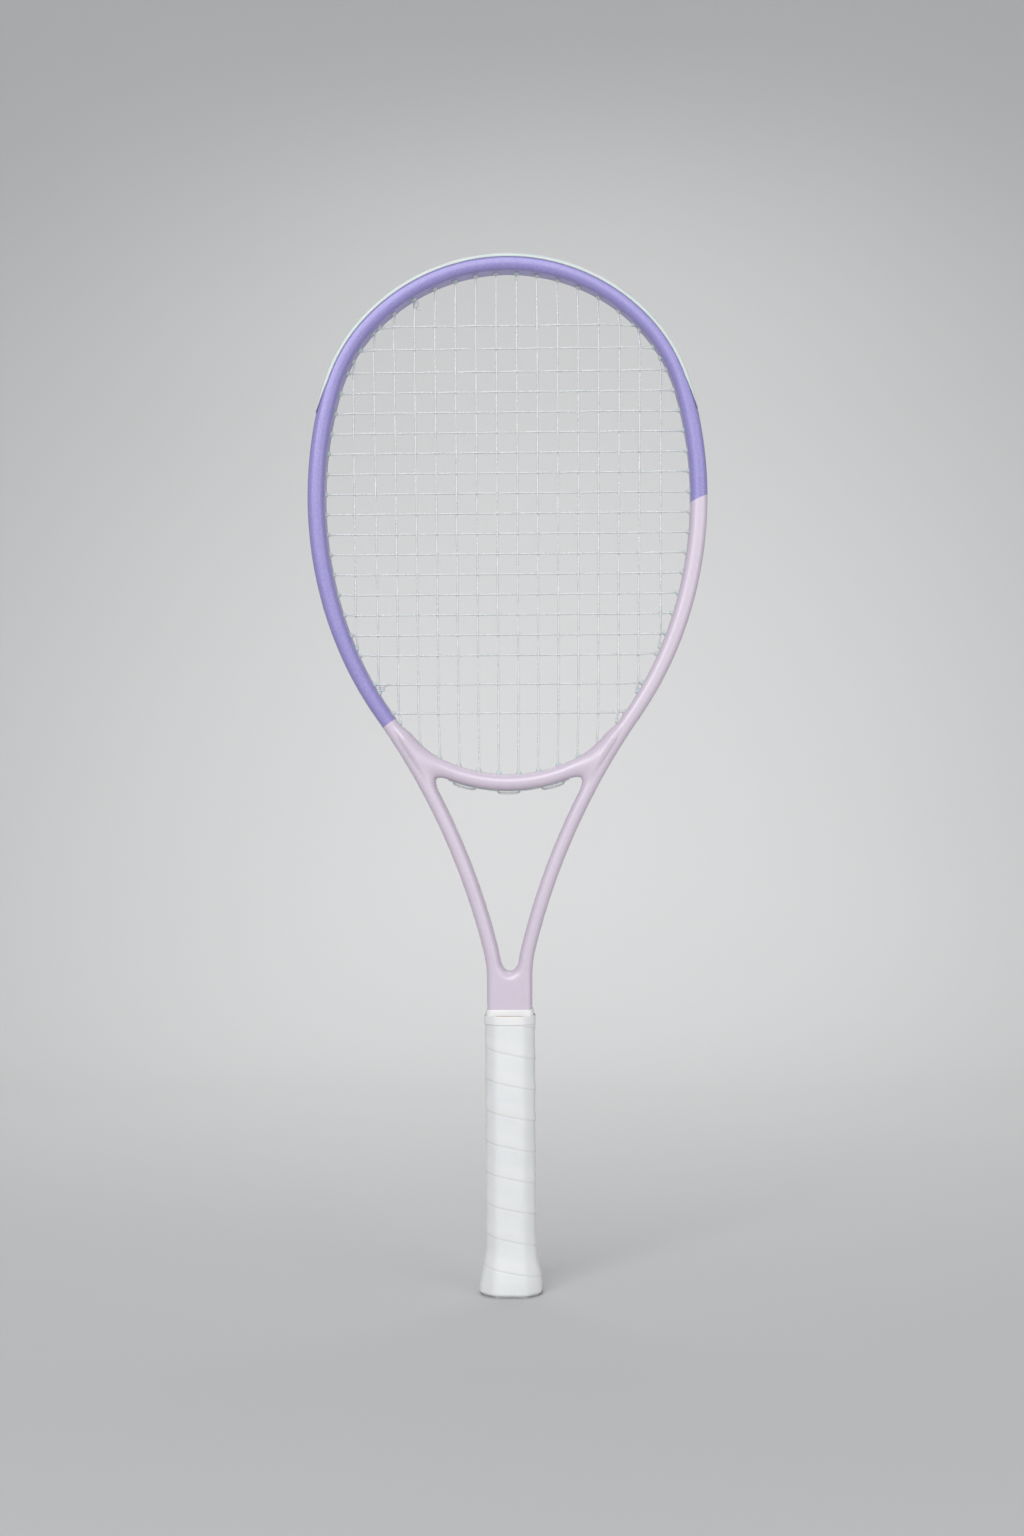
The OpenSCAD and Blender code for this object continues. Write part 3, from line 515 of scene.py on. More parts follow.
gaps[2:-2] = (level_span - gaps.sum()) / even_gaps
cross_z = OVERALL - CROSS_DROP - np.r_[0, np.cumsum(gaps)]


def wall_end(part, axis, value):
    """Point, normal and frame depth where the inner wall's part has that x or z."""
    p, h, s = wall_p[part], wall_h[part], wall_s[part]
    order = np.argsort(p[:, axis])
    at = lambda f: np.interp(value, p[order, axis], f[order])
    return np.array([at(p[:, 0]), at(p[:, 1])]), normal_at(at(h)), float(tube_width(at(s)))


def flipped(end, left):
    """The same end on the other side."""
    m = np.array([-1.0 if left else 1.0, 1.0])
    return end[0] * m, end[1] * m, end[2]


def main_low(x):
    """A main string's lower end: on the bridge near the middle, on the arm or hoop further out."""
    if abs(x) < BRIDGE_REACH:
        n = np.array([abs(x), -np.sqrt(BRIDGE_R ** 2 - x ** 2)]) / BRIDGE_R
        return flipped((BRIDGE_C + BRIDGE_R * n, n, BRIDGE_W), x < 0)
    return flipped(wall_end(wall_h > np.radians(91), 0, abs(x)), x < 0)


upper = wall_h < np.radians(89)
upper[len(head_h):] = False
main_highs = [flipped(wall_end(upper, 0, abs(x)), x < 0) for x in main_top_x]
main_lows = [main_low(x) for x in main_low_x]
everywhere = np.ones(len(wall_h), bool)
cross_rights = [wall_end(everywhere, 1, z) for z in cross_z]
cross_lefts = [flipped(e, True) for e in cross_rights]
all_ends = main_highs + main_lows + cross_lefts + cross_rights
print("string ends:", len(all_ends), "lowest cross at z", round(cross_z[-1] / MM, 1), "mm")

# %% [markdown]
# Every hole has a grommet whose end shows inside the head as a small white collar with a domed lip.
# One profile is spun round each string end, which is cheaper than seventy solids and keeps them alike.

# %% Grommet ends


def spun(origin, axis, along, radius, count=14):
    """Rings of a profile (along, radius) spun about an axis in the X-Z plane through the origin."""
    a = np.linspace(0, 2 * np.pi, count, endpoint=False)
    axis3 = np.array([axis[0], 0, axis[1]])
    side = np.array([axis[1], 0, -axis[0]])
    ring = np.cos(a)[:, None] * side + np.sin(a)[:, None] * np.array([0, 1, 0])
    return np.array([origin[0], 0, origin[1]]) + along[:, None, None] * axis3 + radius[:, None, None] * ring


dome_along = np.array([0.5, 0.0, -0.35, -0.55, -1.2, -1.65, -1.85, -1.75, -1.0, 0.5]) * MM
dome_radius = np.array([2.05, 2.1, 1.95, 1.62, 1.56, 1.36, 1.0, 0.78, 0.74, 0.74]) * MM
domes = []
for end in all_ends:
    rings = spun(end[0], end[1], dome_along, dome_radius)
    rows, cols = rings.shape[:2]
    domes.append((rings, grid_faces(rows, cols, looped=True)))
points, faces = join_parts(domes)
grommet_ends = put_mesh("grommet_ends", points, faces)
print("grommet ends:", len(all_ends))

# %% [markdown]
# ## The strings
# One string makes all the upright runs and another all the level ones, each zigzagging through the
# grommets and along the outside of the frame. A run goes over and under the runs that it crosses,
# which is a cosine wave with half a turn from one crossing to the next. The whole path is evened out
# and smoothed, so that the string bends as a real one does, and then a round section follows it.

# %% String paths
LANE = 1.6 * MM
MOUTH = 1.8 * MM
TURN_RUN, TURN_BELOW = 1.3 * MM, 0.6 * MM
GROOVE_LEVEL, STRIP_LEVEL = -0.7 * MM, 2.1 * MM
STRIP_X, STRIP_Z = 36 * MM, 355 * MM


def at_end(end, along, y=0.0):
    """A point that far along an end's normal from the inner wall, at y."""
    p = end[0] + along * end[1]
    return np.array([p[0], y, p[1]])


def run(points, signs, steps=8):
    """A woven run: straight between crossings, while y follows sign x cos(half a turn per crossing)."""
    t = np.linspace(0, len(points) - 1, (len(points) - 1) * steps + 1)
    k = np.arange(len(points))
    x = np.interp(t, k, points[:, 0])
    z = np.interp(t, k, points[:, 1])
    return np.stack([x, signs * WEAVE * np.cos(np.pi * t), z], -1)


def outside(end):
    """How far out a string's outside loop lies: in the groove, or under the bridge's strip."""
    under = abs(end[0][0]) <= STRIP_X and end[0][1] < STRIP_Z
    return end[2] + (STRIP_LEVEL if under else GROOVE_LEVEL)


def loop(a, b, y):
    """From one end's mouth, out through the frame, along it in a lane at y, and back in at the next."""
    pa, pb = at_end(a, outside(a), y), at_end(b, outside(b), y)
    t = (pb - pa) / np.linalg.norm(pb - pa) * TURN_RUN
    ends = [at_end(a, -MOUTH), at_end(a, outside(a) - TURN_BELOW), pa + t]
    middle = (pa + pb) / 2 + np.append(a[1] + b[1], 0)[[0, 2, 1]] * 0.15 * MM
    return np.array(ends + [middle, pb - t, at_end(b, outside(b) - TURN_BELOW), at_end(b, -MOUTH)])


def loose(end, toward, y):
    """The string's end: a short piece in the groove, then in through its grommet."""
    p = at_end(end, outside(end), y)
    t = at_end(toward, outside(toward), y) - p
    t = t / np.linalg.norm(t)
    return np.array([p + 5 * MM * t, p + TURN_RUN * t, at_end(end, outside(end) - TURN_BELOW),
        at_end(end, -MOUTH)])


def main_x_at(i, z):
    """A main string's x at a height, on the straight line between its two ends."""
    low, high = main_lows[i][0], main_highs[i][0]
    return low[0] + (high[0] - low[0]) * (z - low[1]) / (high[1] - low[1])


crossing = np.array([[main_lows[i][0][1] + MM < z < main_highs[i][0][1] - MM for z in cross_z]
    for i in range(MAINS)])
main_parts = [loose(main_lows[0], main_lows[1], LANE)]
for i in range(MAINS):
    js = np.flatnonzero(crossing[i])[::-1]
    sign = 1 if (i + js[0]) % 2 == 0 else -1
    pts = np.array([[main_x_at(i, cross_z[j]), cross_z[j]] for j in js])
    woven = run(pts, sign)
    main_parts.append(woven if i % 2 == 0 else woven[::-1])
    if i < MAINS - 1:
        ends = main_highs if i % 2 == 0 else main_lows
        main_parts.append(loop(ends[i], ends[i + 1], -LANE))
main_parts.append(loose(main_lows[-1], main_lows[-2], LANE)[::-1])
cross_parts = [loose(cross_lefts[0], cross_lefts[1], LANE)]
for j in range(CROSSES):
    ks = np.flatnonzero(crossing[:, j])
    sign = -1 if (ks[0] + j) % 2 == 0 else 1
    pts = np.array([[main_x_at(i, cross_z[j]), cross_z[j]] for i in ks])
    woven = run(pts, sign)
    cross_parts.append(woven if j % 2 == 0 else woven[::-1])
    if j < CROSSES - 1:
        ends = cross_rights if j % 2 == 0 else cross_lefts
        cross_parts.append(loop(ends[j], ends[j + 1], LANE))
cross_parts.append(loose(cross_rights[-1], cross_rights[-2], LANE)[::-1])


def evened(path, step=1.2 * MM, rounds=2):
    """The same path with a point every step along it, each then averaged with its neighbours."""
    far = np.r_[0, np.cumsum(np.linalg.norm(np.diff(path, axis=0), axis=1))]
    at = np.linspace(0, far[-1], int(far[-1] / step) + 1)
    p = np.stack([np.interp(at, far, path[:, k]) for k in range(3)], -1)
    for _ in range(rounds):
        p[1:-1] = 0.25 * p[:-2] + 0.5 * p[1:-1] + 0.25 * p[2:]
    return p


def string_rings(path, radius, sides=8):
    """Round rings along a path: the ring's axes are the path's direction crossed with Y, and that
    crossed with the direction."""
    t = np.gradient(path, axis=0)
    t /= np.linalg.norm(t, axis=1)[:, None]
    across = np.cross(t, [0, 1, 0])
    across /= np.linalg.norm(across, axis=1)[:, None]
    up = np.cross(across, t)
    a = np.linspace(0, 2 * np.pi, sides, endpoint=False)
    return (path[:, None] + np.asarray(radius).reshape(-1, 1, 1)
        * (np.cos(a)[None, :, None] * across[:, None] + np.sin(a)[None, :, None] * up[:, None]))


main_path = evened(np.concatenate(main_parts))
cross_path = evened(np.concatenate(cross_parts))
main_string = tube_mesh("upright_string", string_rings(main_path, STRING_R))
cross_string = tube_mesh("level_string", string_rings(cross_path, STRING_R))
print("strings:", round(float(np.linalg.norm(np.diff(main_path, axis=0), axis=1).sum()), 2), "m and",
    round(float(np.linalg.norm(np.diff(cross_path, axis=0), axis=1).sum()), 2), "m")

# %% [markdown]
# A stringer ties each string off with a small knot round a neighbouring string, close to its grommet,
# and trims the end. A knot here is a tight coil of the same string with a short free tail.

# %% Tie-off knots


def knot_path(end, string_way, tail_way, turns=2.6):
    """A coil round a string: centre + a circle that steps along the string, then a straight tail."""
    way = np.asarray(string_way, float) / np.linalg.norm(string_way)
    side = np.cross(way, [0, 1, 0])
    side /= np.linalg.norm(side)
    a = np.linspace(0, 2 * np.pi * turns, 60)
    start = at_end(end, -2.6 * MM)
    coil = (start + way * (a / (2 * np.pi) * 1.25 * MM)[:, None]
        + 1.3 * MM * (np.cos(a)[:, None] * side + np.sin(a)[:, None] * np.array([0, -1.0, 0])))
    tail = np.asarray(tail_way, float)
    tail = tail / np.linalg.norm(tail)
    free = coil[-1] + np.linspace(0.6, 4.6, 8)[:, None] * MM * tail
    return np.concatenate([coil, free])


knots = []
for end, way, tail in ((main_lows[1], (0, 0, 1), (0.7, -0.5, 0.25)),
        (main_highs[3], (0, 0, -1), (0.8, -0.4, -0.35))):
    rings = string_rings(evened(knot_path(end, way, tail), 0.5 * MM, 1), STRING_R)
    knots.append(solid_of(rings))
points, faces = join_parts(knots)
tie_off_knots = put_mesh("tie_off_knots", points, faces)

# %% [markdown]
# ## The handle
# The grip is an eight-sided sleeve with soft corners: a cushioned strip wound over the foam pallets
# and a thin tacky overgrip wound over that in a spiral, each turn lapping the one before. It is held
# tight on a rigid handle, so it neither sags nor swells, and a formula gives its shape better than a
# cloth simulation: an eight-sided section, rounded by a power mean of its sides' distances, with a
# step where each turn laps the last.

# %% The eight-sided section
PALLET_W, PALLET_D, BEVEL = 28.6 * MM, 24.8 * MM, 6.2 * MM
FLARE_Z = np.array([0, 1.2, 8, 15, 22, 28, 34, 200]) * MM
FLARE_OUT = (np.array([-0.9, 0, 0, -1.4, -2.9, -3.7, -4.1, -4.1]) + 4.1) * MM
TURN_PITCH = 20.4 * MM
LAP_STEP = 0.32 * MM


def flare_at(z):
    """How far the handle swells past its bare size at a height: the CAD's flare, smoothed by averaging."""
    spread = np.array([-3, -1.5, 0, 1.5, 3]) * MM
    return np.mean([np.interp(np.clip(z + s, 1.2 * MM, None), FLARE_Z, FLARE_OUT) for s in spread], axis=0)


def eight_radius(angle, grow, power=15.0):
    """Distance from the middle to the eight-sided outline in a direction: the sides' distances joined
    by a power mean, which rounds the corners. The angle is from the front towards +X."""
    w, d, b = PALLET_W / 2 + grow, PALLET_D / 2 + grow, BEVEL + 0.6 * grow
    total = 0.0
    for k in range(8):
        facing = k * np.pi / 4
        reach = (d, (w + d - b) / np.sqrt(2), w, (w + d - b) / np.sqrt(2))[k % 4]
        total = total + np.maximum(np.cos(angle - facing) / reach, 0) ** power
    return total ** (-1 / power)


def seam_phase(angle, z):
    """How many turns of tape lie between a point and a seam: whole numbers are seams."""
    return (z - 174.2 * MM) / TURN_PITCH + (angle - np.pi / 2) / (2 * np.pi)


def lap_height(phase):
    """How proud the tape lies over one turn: proudest just above a seam, where it laps over the turn
    below with its edge facing down, with a rounded edge and a shallow crease at the seam."""
    w = phase - np.floor(phase)
    ramp = smooth_step(0.5, 0.86, 1 - w) * (1 - smooth_step(0.972, 1.0, 1 - w))
    crease = np.exp(-((np.minimum(w, 1 - w) * TURN_PITCH / (0.45 * MM)) ** 2))
    return LAP_STEP * ramp - 0.22 * MM * crease


def sleeve(name, low, high, inner, outer, laps=False, rows=300, cols=160, roll=1.2 * MM, tuck=None):
    """A closed sleeve round the handle between two heights: rings up the outside, in over a rolled top
    edge and down the inside. inner and outer are thicknesses past the bare handle, and tuck is the
    thickness that the top edge is turned in to."""
    angle = np.linspace(0, 2 * np.pi, cols, endpoint=False)[None, :]
    z = np.linspace(low, high, rows)[:, None]
    grow = flare_at(z) + outer
    r = eight_radius(angle, grow)
    if laps:
        signed = (angle + np.pi) % (2 * np.pi) - np.pi
        wind = np.where(signed < -np.pi * 0.999, signed + 2 * np.pi, signed)
        r = r + lap_height(seam_phase(wind, z)) - 0.3 * MM
    ease = np.sqrt(1 - (1 - np.clip(np.minimum(z - low, high - z) / roll, 0, 1)) ** 2)
    r = r - roll * (1 - ease) * 0.8
    if tuck is not None:
        turned = np.sqrt(1 - (1 - np.clip((high - z) / (1.6 * MM), 0, 1)) ** 2)
        r_in = eight_radius(angle, tuck)
        r = r_in + (r - r_in) * turned
    zi = np.linspace(high, low, 40)[:, None]
    ri = eight_radius(angle, flare_at(zi) + inner)
    if tuck is not None:
        ri = np.where(zi > high - 0.6 * MM, np.minimum(ri, eight_radius(angle, tuck)), ri)
    radius = np.concatenate([r, ri])
    height = np.concatenate([z, zi]) + 0 * radius
    points = np.stack([radius * np.sin(angle), -radius * np.cos(angle), height], -1)
    rows, cols = radius.shape
    faces = grid_faces(rows, cols, looped=True)
    uv = np.stack([np.broadcast_to(angle, radius.shape) * 0.016, height], -1).reshape(-1, 2)
    return put_mesh(name, points.reshape(-1, 3), faces, uv, sharp=60)


overgrip = sleeve("overgrip_tape", 1.7 * MM, 183.9 * MM, 1.75 * MM, 2.4 * MM, laps=True,
    tuck=0.6 * MM)
cushion = sleeve("cushion_grip", 1.9 * MM, 183.5 * MM, 0.12 * MM, 1.6 * MM, rows=120, cols=96)
finish_band = sleeve("finishing_band", 178.2 * MM, 184.0 * MM, 2.35 * MM, 2.78 * MM, rows=24, cols=128,
    roll=0.7 * MM)
print("overgrip:", len(overgrip.data.vertices), "vertices")

# %% [markdown]
# The finishing collar is a thin soft ring that hides where the tape ends against the shaft, and the
# shaft goes on inside the handle as a slimmer hollow tail. Both are rounded rectangles carried
# straight up, closed over a wall by running down the inside again.

# %% Collar and tail


def straight_sleeve(name, low, high, w, d, r, wall, rows=12, roll=0.3 * MM, flare_out=0.0):
    """A closed tube of rounded-rectangle section between two heights, with softened rims."""
    z = np.linspace(low, high, rows)
    ease = roll * (1 - np.sqrt(1 - (1 - np.clip(np.minimum(z - low, high - z) / roll, 0, 1)) ** 2))
    rings = []
    for inside in (False, True):
        for height, less in zip(z[::-1] if inside else z, ease[::-1] if inside else ease):
            swell = flare_out * (high - height) / (high - low)
            cut = wall if inside else less - swell
            u, v = section_ring(w - 2 * cut, d - 2 * cut, max(r - cut, 0.4 * MM))
            rings.append(np.stack([u, v, np.full(u.shape, height)], -1))
    rings = np.array(rings)
    rows, cols = rings.shape[:2]
    return put_mesh(name, rings.reshape(-1, 3), grid_faces(rows, cols, looped=True), sharp=50)


collar = straight_sleeve("collar_ring", 183.6 * MM, 188.1 * MM, SHAFT_W + 1.4 * MM, SHAFT_D + 1.4 * MM,
    4.6 * MM, 0.62 * MM, flare_out=0.3 * MM)
tail = straight_sleeve("shaft_tail", 14 * MM, 184.3 * MM, 21.6 * MM, 15 * MM, 2 * MM, 1.5 * MM, rows=30)

# %% [markdown]
# ## Finishes
# Every finish starts from one shader and a few shared effects. Two effects are node groups, because
# more than one material uses them: a slow mottling with fine specks, which breaks up flat colour and
# gloss, and a fine grain for the height of a bump. Numbers that stay the same all over are set on the
# shader itself.

# %% Shared effects


def new_group(name, inputs, outputs):
    """An empty shader node group with float or vector inputs and float outputs."""
    group = bpy.data.node_groups.new(name, "ShaderNodeTree")
    for label, kind, value in inputs:
        socket = group.interface.new_socket(label, in_out="INPUT", socket_type=kind)
        if value is not None:
            socket.default_value = value
    for label in outputs:
        group.interface.new_socket(label, in_out="OUTPUT", socket_type="NodeSocketFloat")
    return group, group.nodes.new("NodeGroupInput"), group.nodes.new("NodeGroupOutput")


FLOAT, VECTOR = "NodeSocketFloat", "NodeSocketVector"
mottle_group, given, made = new_group("mottle",
    [("Vector", VECTOR, None), ("Patch Scale", FLOAT, 40.0), ("Speck Scale", FLOAT, 900.0)],
    ["Patches", "Specks"])
for socket, scale, detail in (("Patches", "Patch Scale", 4.0), ("Specks", "Speck Scale", 2.0)):
    noise = mottle_group.nodes.new("ShaderNodeTexNoise")
    noise.inputs["Detail"].default_value = detail
    mottle_group.links.new(given.outputs["Vector"], noise.inputs["Vector"])
    mottle_group.links.new(given.outputs[scale], noise.inputs["Scale"])
    spread = mottle_group.nodes.new("ShaderNodeMapRange")
    spread.inputs["From Min"].default_value = 0.3
    spread.inputs["From Max"].default_value = 0.7
    mottle_group.links.new(noise.outputs["Fac"], spread.inputs["Value"])
    mottle_group.links.new(spread.outputs["Result"], made.inputs[socket])

grain_group, given, made = new_group("grain",
    [("Vector", VECTOR, None), ("Scale", FLOAT, 1500.0), ("Stretch", VECTOR, (1.0, 1.0, 1.0))], ["Height"])
pull = grain_group.nodes.new("ShaderNodeVectorMath")
pull.operation = "MULTIPLY"
noise = grain_group.nodes.new("ShaderNodeTexNoise")
noise.inputs["Detail"].default_value = 3.0
cells = grain_group.nodes.new("ShaderNodeTexVoronoi")
blend = grain_group.nodes.new("ShaderNodeMath")
blend.operation = "MULTIPLY_ADD"
blend.inputs[1].default_value = 0.6
for a, b in ((given.outputs["Vector"], pull.inputs[0]), (given.outputs["Stretch"], pull.inputs[1]),
        (pull.outputs["Vector"], noise.inputs["Vector"]), (pull.outputs["Vector"], cells.inputs["Vector"]),
        (given.outputs["Scale"], noise.inputs["Scale"]), (given.outputs["Scale"], cells.inputs["Scale"]),
        (cells.outputs["Distance"], blend.inputs[0]), (noise.outputs["Fac"], blend.inputs[2]),
        (blend.outputs["Value"], made.inputs["Height"])):
    grain_group.links.new(a, b)
print("shared effects:", [g.name for g in bpy.data.node_groups])

# %% One finish


class Finish:
    """A material whose colour and gloss vary by the mottle group and whose surface has the grain group's
    bump. The rest is set on its shader's own sockets."""

    def __init__(self, name, colour, deeper, rough, gloss_spread=0.06, grain=1500.0, bump=0.02 * MM,
            patch=40.0, coordinates="Object", stretch=(1, 1, 1), strength=0.5, **sockets):
        self.material = bpy.data.materials.new(name)
        self.material.use_nodes = True
        self.nodes = self.material.node_tree.nodes
        self.links = self.material.node_tree.links
        self.shader = self.nodes["Principled BSDF"]
        self.place = self.nodes.new("ShaderNodeTexCoord").outputs[coordinates]
        self.mottle = self.add("ShaderNodeGroup", node_tree=mottle_group)
        self.mottle.inputs["Patch Scale"].default_value = patch
        self.links.new(self.place, self.mottle.inputs["Vector"])
        self.tint = self.mix(self.mottle.outputs["Patches"], colour, deeper)
        self.links.new(self.tint, self.shader.inputs["Base Color"])
        gloss = self.add("ShaderNodeMapRange")
        gloss.inputs["To Min"].default_value = rough - gloss_spread
        gloss.inputs["To Max"].default_value = rough + gloss_spread
        self.links.new(self.mottle.outputs["Specks"], gloss.inputs["Value"])
        self.links.new(gloss.outputs["Result"], self.shader.inputs["Roughness"])
        grains = self.add("ShaderNodeGroup", node_tree=grain_group)
        grains.inputs["Scale"].default_value = grain
        grains.inputs["Stretch"].default_value = stretch
        self.links.new(self.place, grains.inputs["Vector"])
        self.bump = self.add("ShaderNodeBump")
        self.bump.inputs["Strength"].default_value = strength
        self.bump.inputs["Distance"].default_value = bump
        self.links.new(grains.outputs["Height"], self.bump.inputs["Height"])
        self.links.new(self.bump.outputs["Normal"], self.shader.inputs["Normal"])
        for socket, value in sockets.items():
            self.shader.inputs[socket.replace("_", " ")].default_value = value

    def add(self, kind, **settings):
        """A node of that kind with those settings."""
        node = self.nodes.new(kind)
        for key, value in settings.items():
            setattr(node, key, value)
        return node

    def mix(self, factor, a, b):
        """The colour between a and b that the factor says. a and b are colours or sockets."""
        node = self.add("ShaderNodeMix", data_type="RGBA")
        self.links.new(factor, node.inputs["Factor"])
        for name, value in (("A", a), ("B", b)):
            socket = [i for i in node.inputs if i.name == name and i.type == "RGBA"][0]
            if isinstance(value, tuple):
                socket.default_value = (*value, 1)
            else:
                self.links.new(value, socket)
        return [o for o in node.outputs if o.type == "RGBA"][0]

    def math(self, operation, *values):
        """A math node over sockets or numbers."""
        node = self.add("ShaderNodeMath", operation=operation)
        for k, value in enumerate(values):
            if isinstance(value, (int, float)):
                node.inputs[k].default_value = value
            else:
                self.links.new(value, node.inputs[k])
        return node.outputs["Value"]

    def on(self, *things):
        """Puts this material on objects."""
        for thing in things:
            thing.data.materials.clear()
            thing.data.materials.append(self.material)


# %% [markdown]
# ## Two-tone paint
# The frame is sprayed in two colours under one clear coat: violet over the head and pale lilac below.
# The edge between them is masked by hand on the real frame, square across the tube on the lower left
# and slanting on the right. Two straight lines in the object's own coordinates give the same mask, so
# the edge stays crisp at any distance. The paint's fine metal flake is painted into the colour as pale
# specks, painted glints that keep the paint from looking flat.

# %% Paint
paint = Finish("two_tone_paint", (0.268, 0.237, 0.535), (0.285, 0.25, 0.57), 0.42, 0.03, grain=420.0,
    bump=0.012 * MM, patch=18.0, strength=0.3, Coat_Weight=0.22, Coat_Roughness=0.16, Coat_IOR=1.5,
    Metallic=0.08)
violet = paint.tint
split = paint.add("ShaderNodeSeparateXYZ")
paint.links.new(paint.place, split.inputs["Vector"])
x_at, z_at = split.outputs["X"], split.outputs["Z"]
left_line = paint.math("SUBTRACT", z_at, paint.math("MULTIPLY_ADD", x_at, 0.726, 0.4338))
right_line = paint.math("SUBTRACT", z_at, paint.math("MULTIPLY_ADD", x_at, 0.444, 0.4674))
is_right = paint.math("GREATER_THAN", x_at, 0.0)
above = paint.math("ADD", paint.math("MULTIPLY", right_line, is_right),
    paint.math("MULTIPLY", left_line, paint.math("SUBTRACT", 1.0, is_right)))
edge = paint.add("ShaderNodeMapRange")
edge.inputs["From Min"].default_value = -0.12 * MM
edge.inputs["From Max"].default_value = 0.12 * MM
paint.links.new(above, edge.inputs["Value"])
lilac = paint.mix(paint.mottle.outputs["Patches"], (0.64, 0.56, 0.655), (0.615, 0.535, 0.635))
both = paint.mix(edge.outputs["Result"], lilac, violet)
# Painted glints: each cell of the metal flake may get a little pale colour mixed into the paint, standing in
# for a flake catching the light.
flake = paint.add("ShaderNodeTexVoronoi")
flake.inputs["Scale"].default_value = 2600.0
paint.links.new(paint.place, flake.inputs["Vector"])
painted_glint_specks = paint.add("ShaderNodeMapRange")
painted_glint_specks.inputs["From Min"].default_value = 0.55
painted_glint_specks.inputs["To Max"].default_value = 0.16
grey = paint.add("ShaderNodeSeparateColor")
paint.links.new(flake.outputs["Color"], grey.inputs["Color"])
paint.links.new(grey.outputs["Red"], painted_glint_specks.inputs["Value"])
# The painted glints go into the base colour of both tones.
paint_with_painted_glints = paint.mix(painted_glint_specks.outputs["Result"], both, (0.9, 0.88, 0.95))
paint.links.new(paint_with_painted_glints, paint.shader.inputs["Base Color"])
paint.on(frame_skin, tail)

# %% [markdown]
# ## Nylon, string, tape and the rest
# The guard and grommets are milky nylon that lets some light through. The string is a clear core with a
# spiral of fine filaments, so its grain is pulled out along the string, on its own UV map. The overgrip
# is a matt, slightly tacky film with a fine pebble; the foam, cap, pins and tape each get their own.

# %% Other finishes
nylon = Finish("milky_nylon", (0.80, 0.86, 0.85), (0.74, 0.81, 0.80), 0.34, 0.06, grain=700.0,
    bump=0.02 * MM, patch=60.0, IOR=1.53, Transmission_Weight=0.25, Subsurface_Weight=0.3,
    Subsurface_Scale=0.003)
string = Finish("string_filament", (0.84, 0.86, 0.86), (0.74, 0.77, 0.78), 0.26, 0.08, grain=900.0,
    bump=0.03 * MM, patch=220.0, coordinates="UV", stretch=(0.35, 2.2, 1.0), IOR=1.5,
    Transmission_Weight=0.2)
tape = Finish("overgrip_film", (0.80, 0.80, 0.80), (0.755, 0.755, 0.76), 0.52, 0.06, grain=1900.0,
    bump=0.03 * MM, patch=55.0, Sheen_Weight=0.12, Sheen_Roughness=0.4, Subsurface_Weight=0.08,
    Subsurface_Scale=0.002)
band = Finish("finishing_film", (0.83, 0.83, 0.83), (0.79, 0.79, 0.80), 0.36, 0.05, grain=800.0,
    bump=0.02 * MM, patch=90.0)
cushion_foam = Finish("cushion_foam", (0.045, 0.045, 0.05), (0.06, 0.06, 0.066), 0.8, 0.08, grain=2600.0,
    bump=0.08 * MM, patch=70.0)
cap_plastic = Finish("cap_nylon", (0.76, 0.76, 0.765), (0.72, 0.72, 0.73), 0.42, 0.06, grain=1500.0,
    bump=0.02 * MM, patch=60.0)
pallet_foam = Finish("pallet_foam", (0.50, 0.42, 0.27), (0.42, 0.34, 0.2), 0.85, 0.06, grain=900.0,
    bump=0.12 * MM, patch=120.0)
core_foam = Finish("core_foam", (0.78, 0.72, 0.55), (0.7, 0.64, 0.46), 0.9, 0.05, grain=700.0,
    bump=0.2 * MM, patch=120.0)
steel = Finish("brushed_steel", (0.55, 0.55, 0.56), (0.46, 0.46, 0.48), 0.32, 0.08, grain=2500.0,
    bump=0.01 * MM, patch=300.0, stretch=(0.2, 1.0, 1.0), Metallic=1.0)

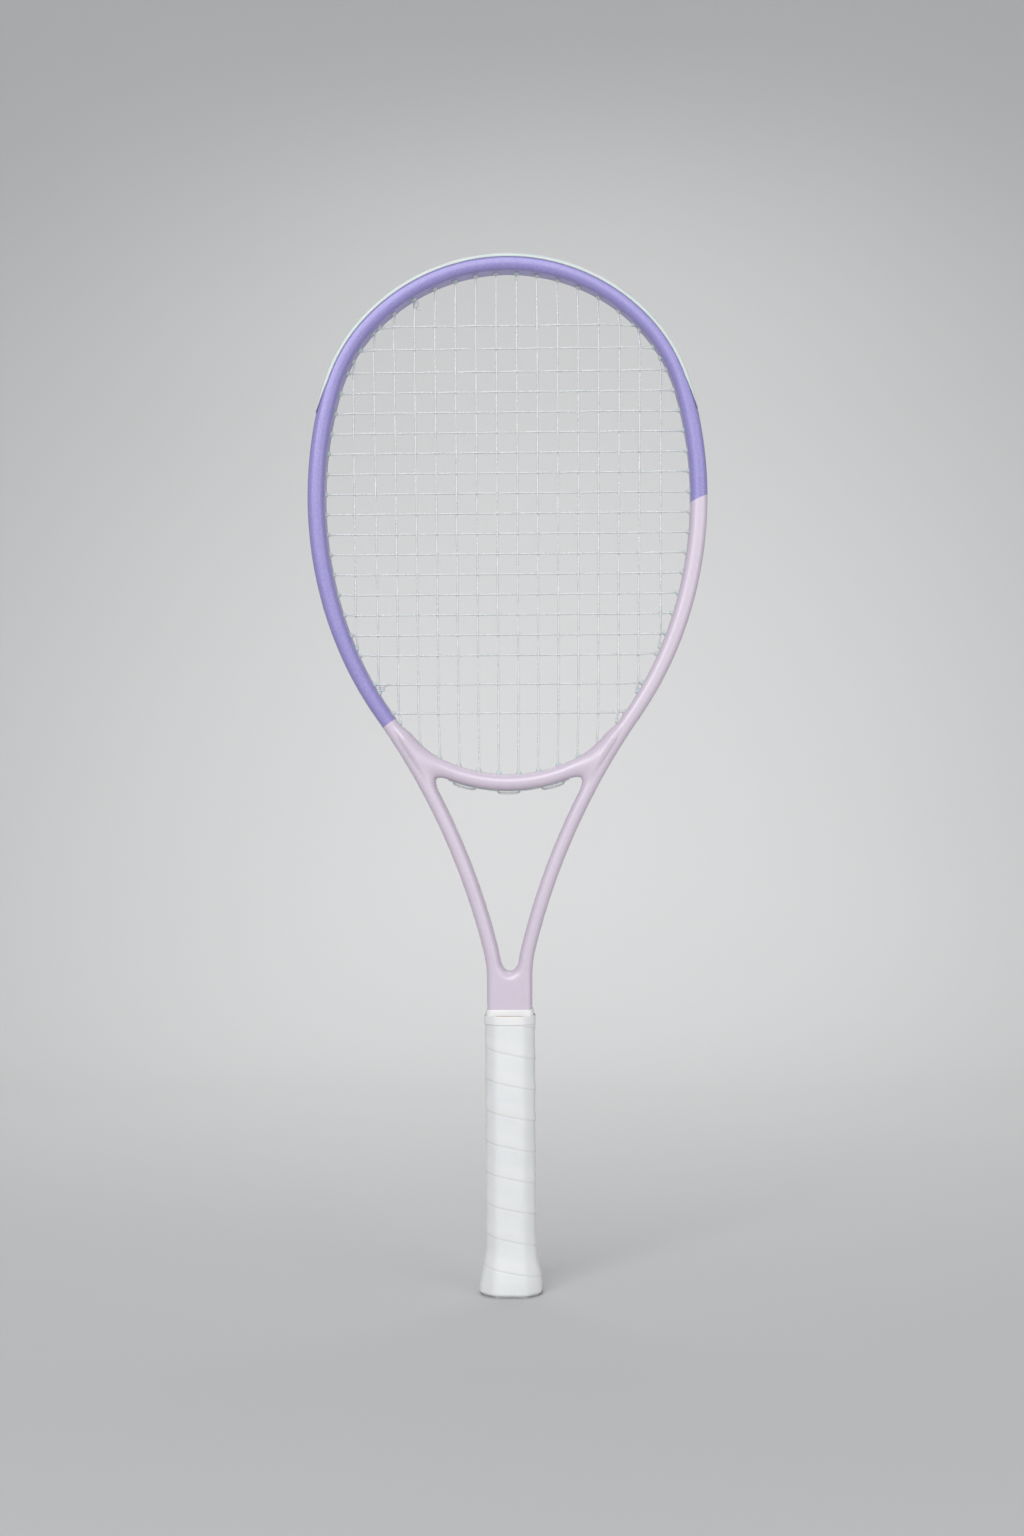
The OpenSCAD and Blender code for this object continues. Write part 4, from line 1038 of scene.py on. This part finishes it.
nylon.on(guard, grommet_ends)
string.on(main_string, cross_string, tie_off_knots)
tape.on(overgrip)
band.on(finish_band, collar)
cushion_foam.on(cushion)
cad_finish = {"grommet_strip_left": nylon, "grommet_strip_right": nylon, "throat_grommet_strip": nylon,
    "pallet_front": pallet_foam, "pallet_back": pallet_foam, "handle_foam": core_foam,
    "butt_cap": cap_plastic, "trap_door": cap_plastic, "trap_door_pin": steel, "cap_staples": steel,
    "grip_tack": steel}
for node, finish in cad_finish.items():
    finish.on(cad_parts[node])
print("materials:", len(bpy.data.materials))

# %% [markdown]
# ## Floor and backdrop
# A sheet that runs level under the racket and bends up into a wall behind it, as a photographer's
# paper roll does. It is a stage, not a piece of the racket.

# %% Sweep
bend = np.radians(np.linspace(0, 90, 40))
BEND_R, FLOOR_FRONT, FLOOR_BACK, WALL_TOP = 0.9, -3.2, 0.9, 3.4
sweep_y = np.concatenate([[FLOOR_FRONT], FLOOR_BACK + BEND_R * np.sin(bend), [FLOOR_BACK + BEND_R]])
sweep_z = np.concatenate([[0], BEND_R * (1 - np.cos(bend)), [WALL_TOP]])
sweep_x = np.linspace(-4, 4, 9)
points = np.stack([np.broadcast_to(sweep_x, (len(sweep_y), 9)), np.repeat(sweep_y[:, None], 9, 1),
    np.repeat(sweep_z[:, None], 9, 1)], -1)
sweep = put_mesh("paper_sweep", points.reshape(-1, 3), grid_faces(len(sweep_y), 9, closed=False),
    sheet=True)
paper = Finish("paper", (0.56, 0.561, 0.563), (0.55, 0.551, 0.553), 0.8, 0.04, grain=300.0, bump=0.01 * MM,
    patch=2.0)
paper.on(sweep)

# %% [markdown]
# ## Which body each piece rides on
# On the real racket everything but the trap door moves as one. Here each new piece rides on one body, the
# racket's, and the CAD nodes that it stands for are hidden.

# %% Bodies and hidden nodes
roles = [
    (frame_skin, "lilac_paint", ("hoop_tube", "throat_arm_left", "throat_arm_right", "throat_bridge",
        "shaft")),
    (tail, "lilac_paint", ()),
    (guard, "clear_plastic", ("bumper_guard",)),
    (grommet_ends, "clear_plastic", ()),
    (main_string, "string", ("main_string",)),
    (cross_string, "string", ("cross_string",)),
    (tie_off_knots, "string", ()),
    (overgrip, "wrap", ("overgrip",)),
    (cushion, "cushion", ("base_grip",)),
    (finish_band, "tape", ("finishing_tape",)),
    (collar, "tape", ("grip_collar",)),
]
for piece, slot, nodes in roles:
    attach(piece, "racket")
    if nodes:
        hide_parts(*nodes)
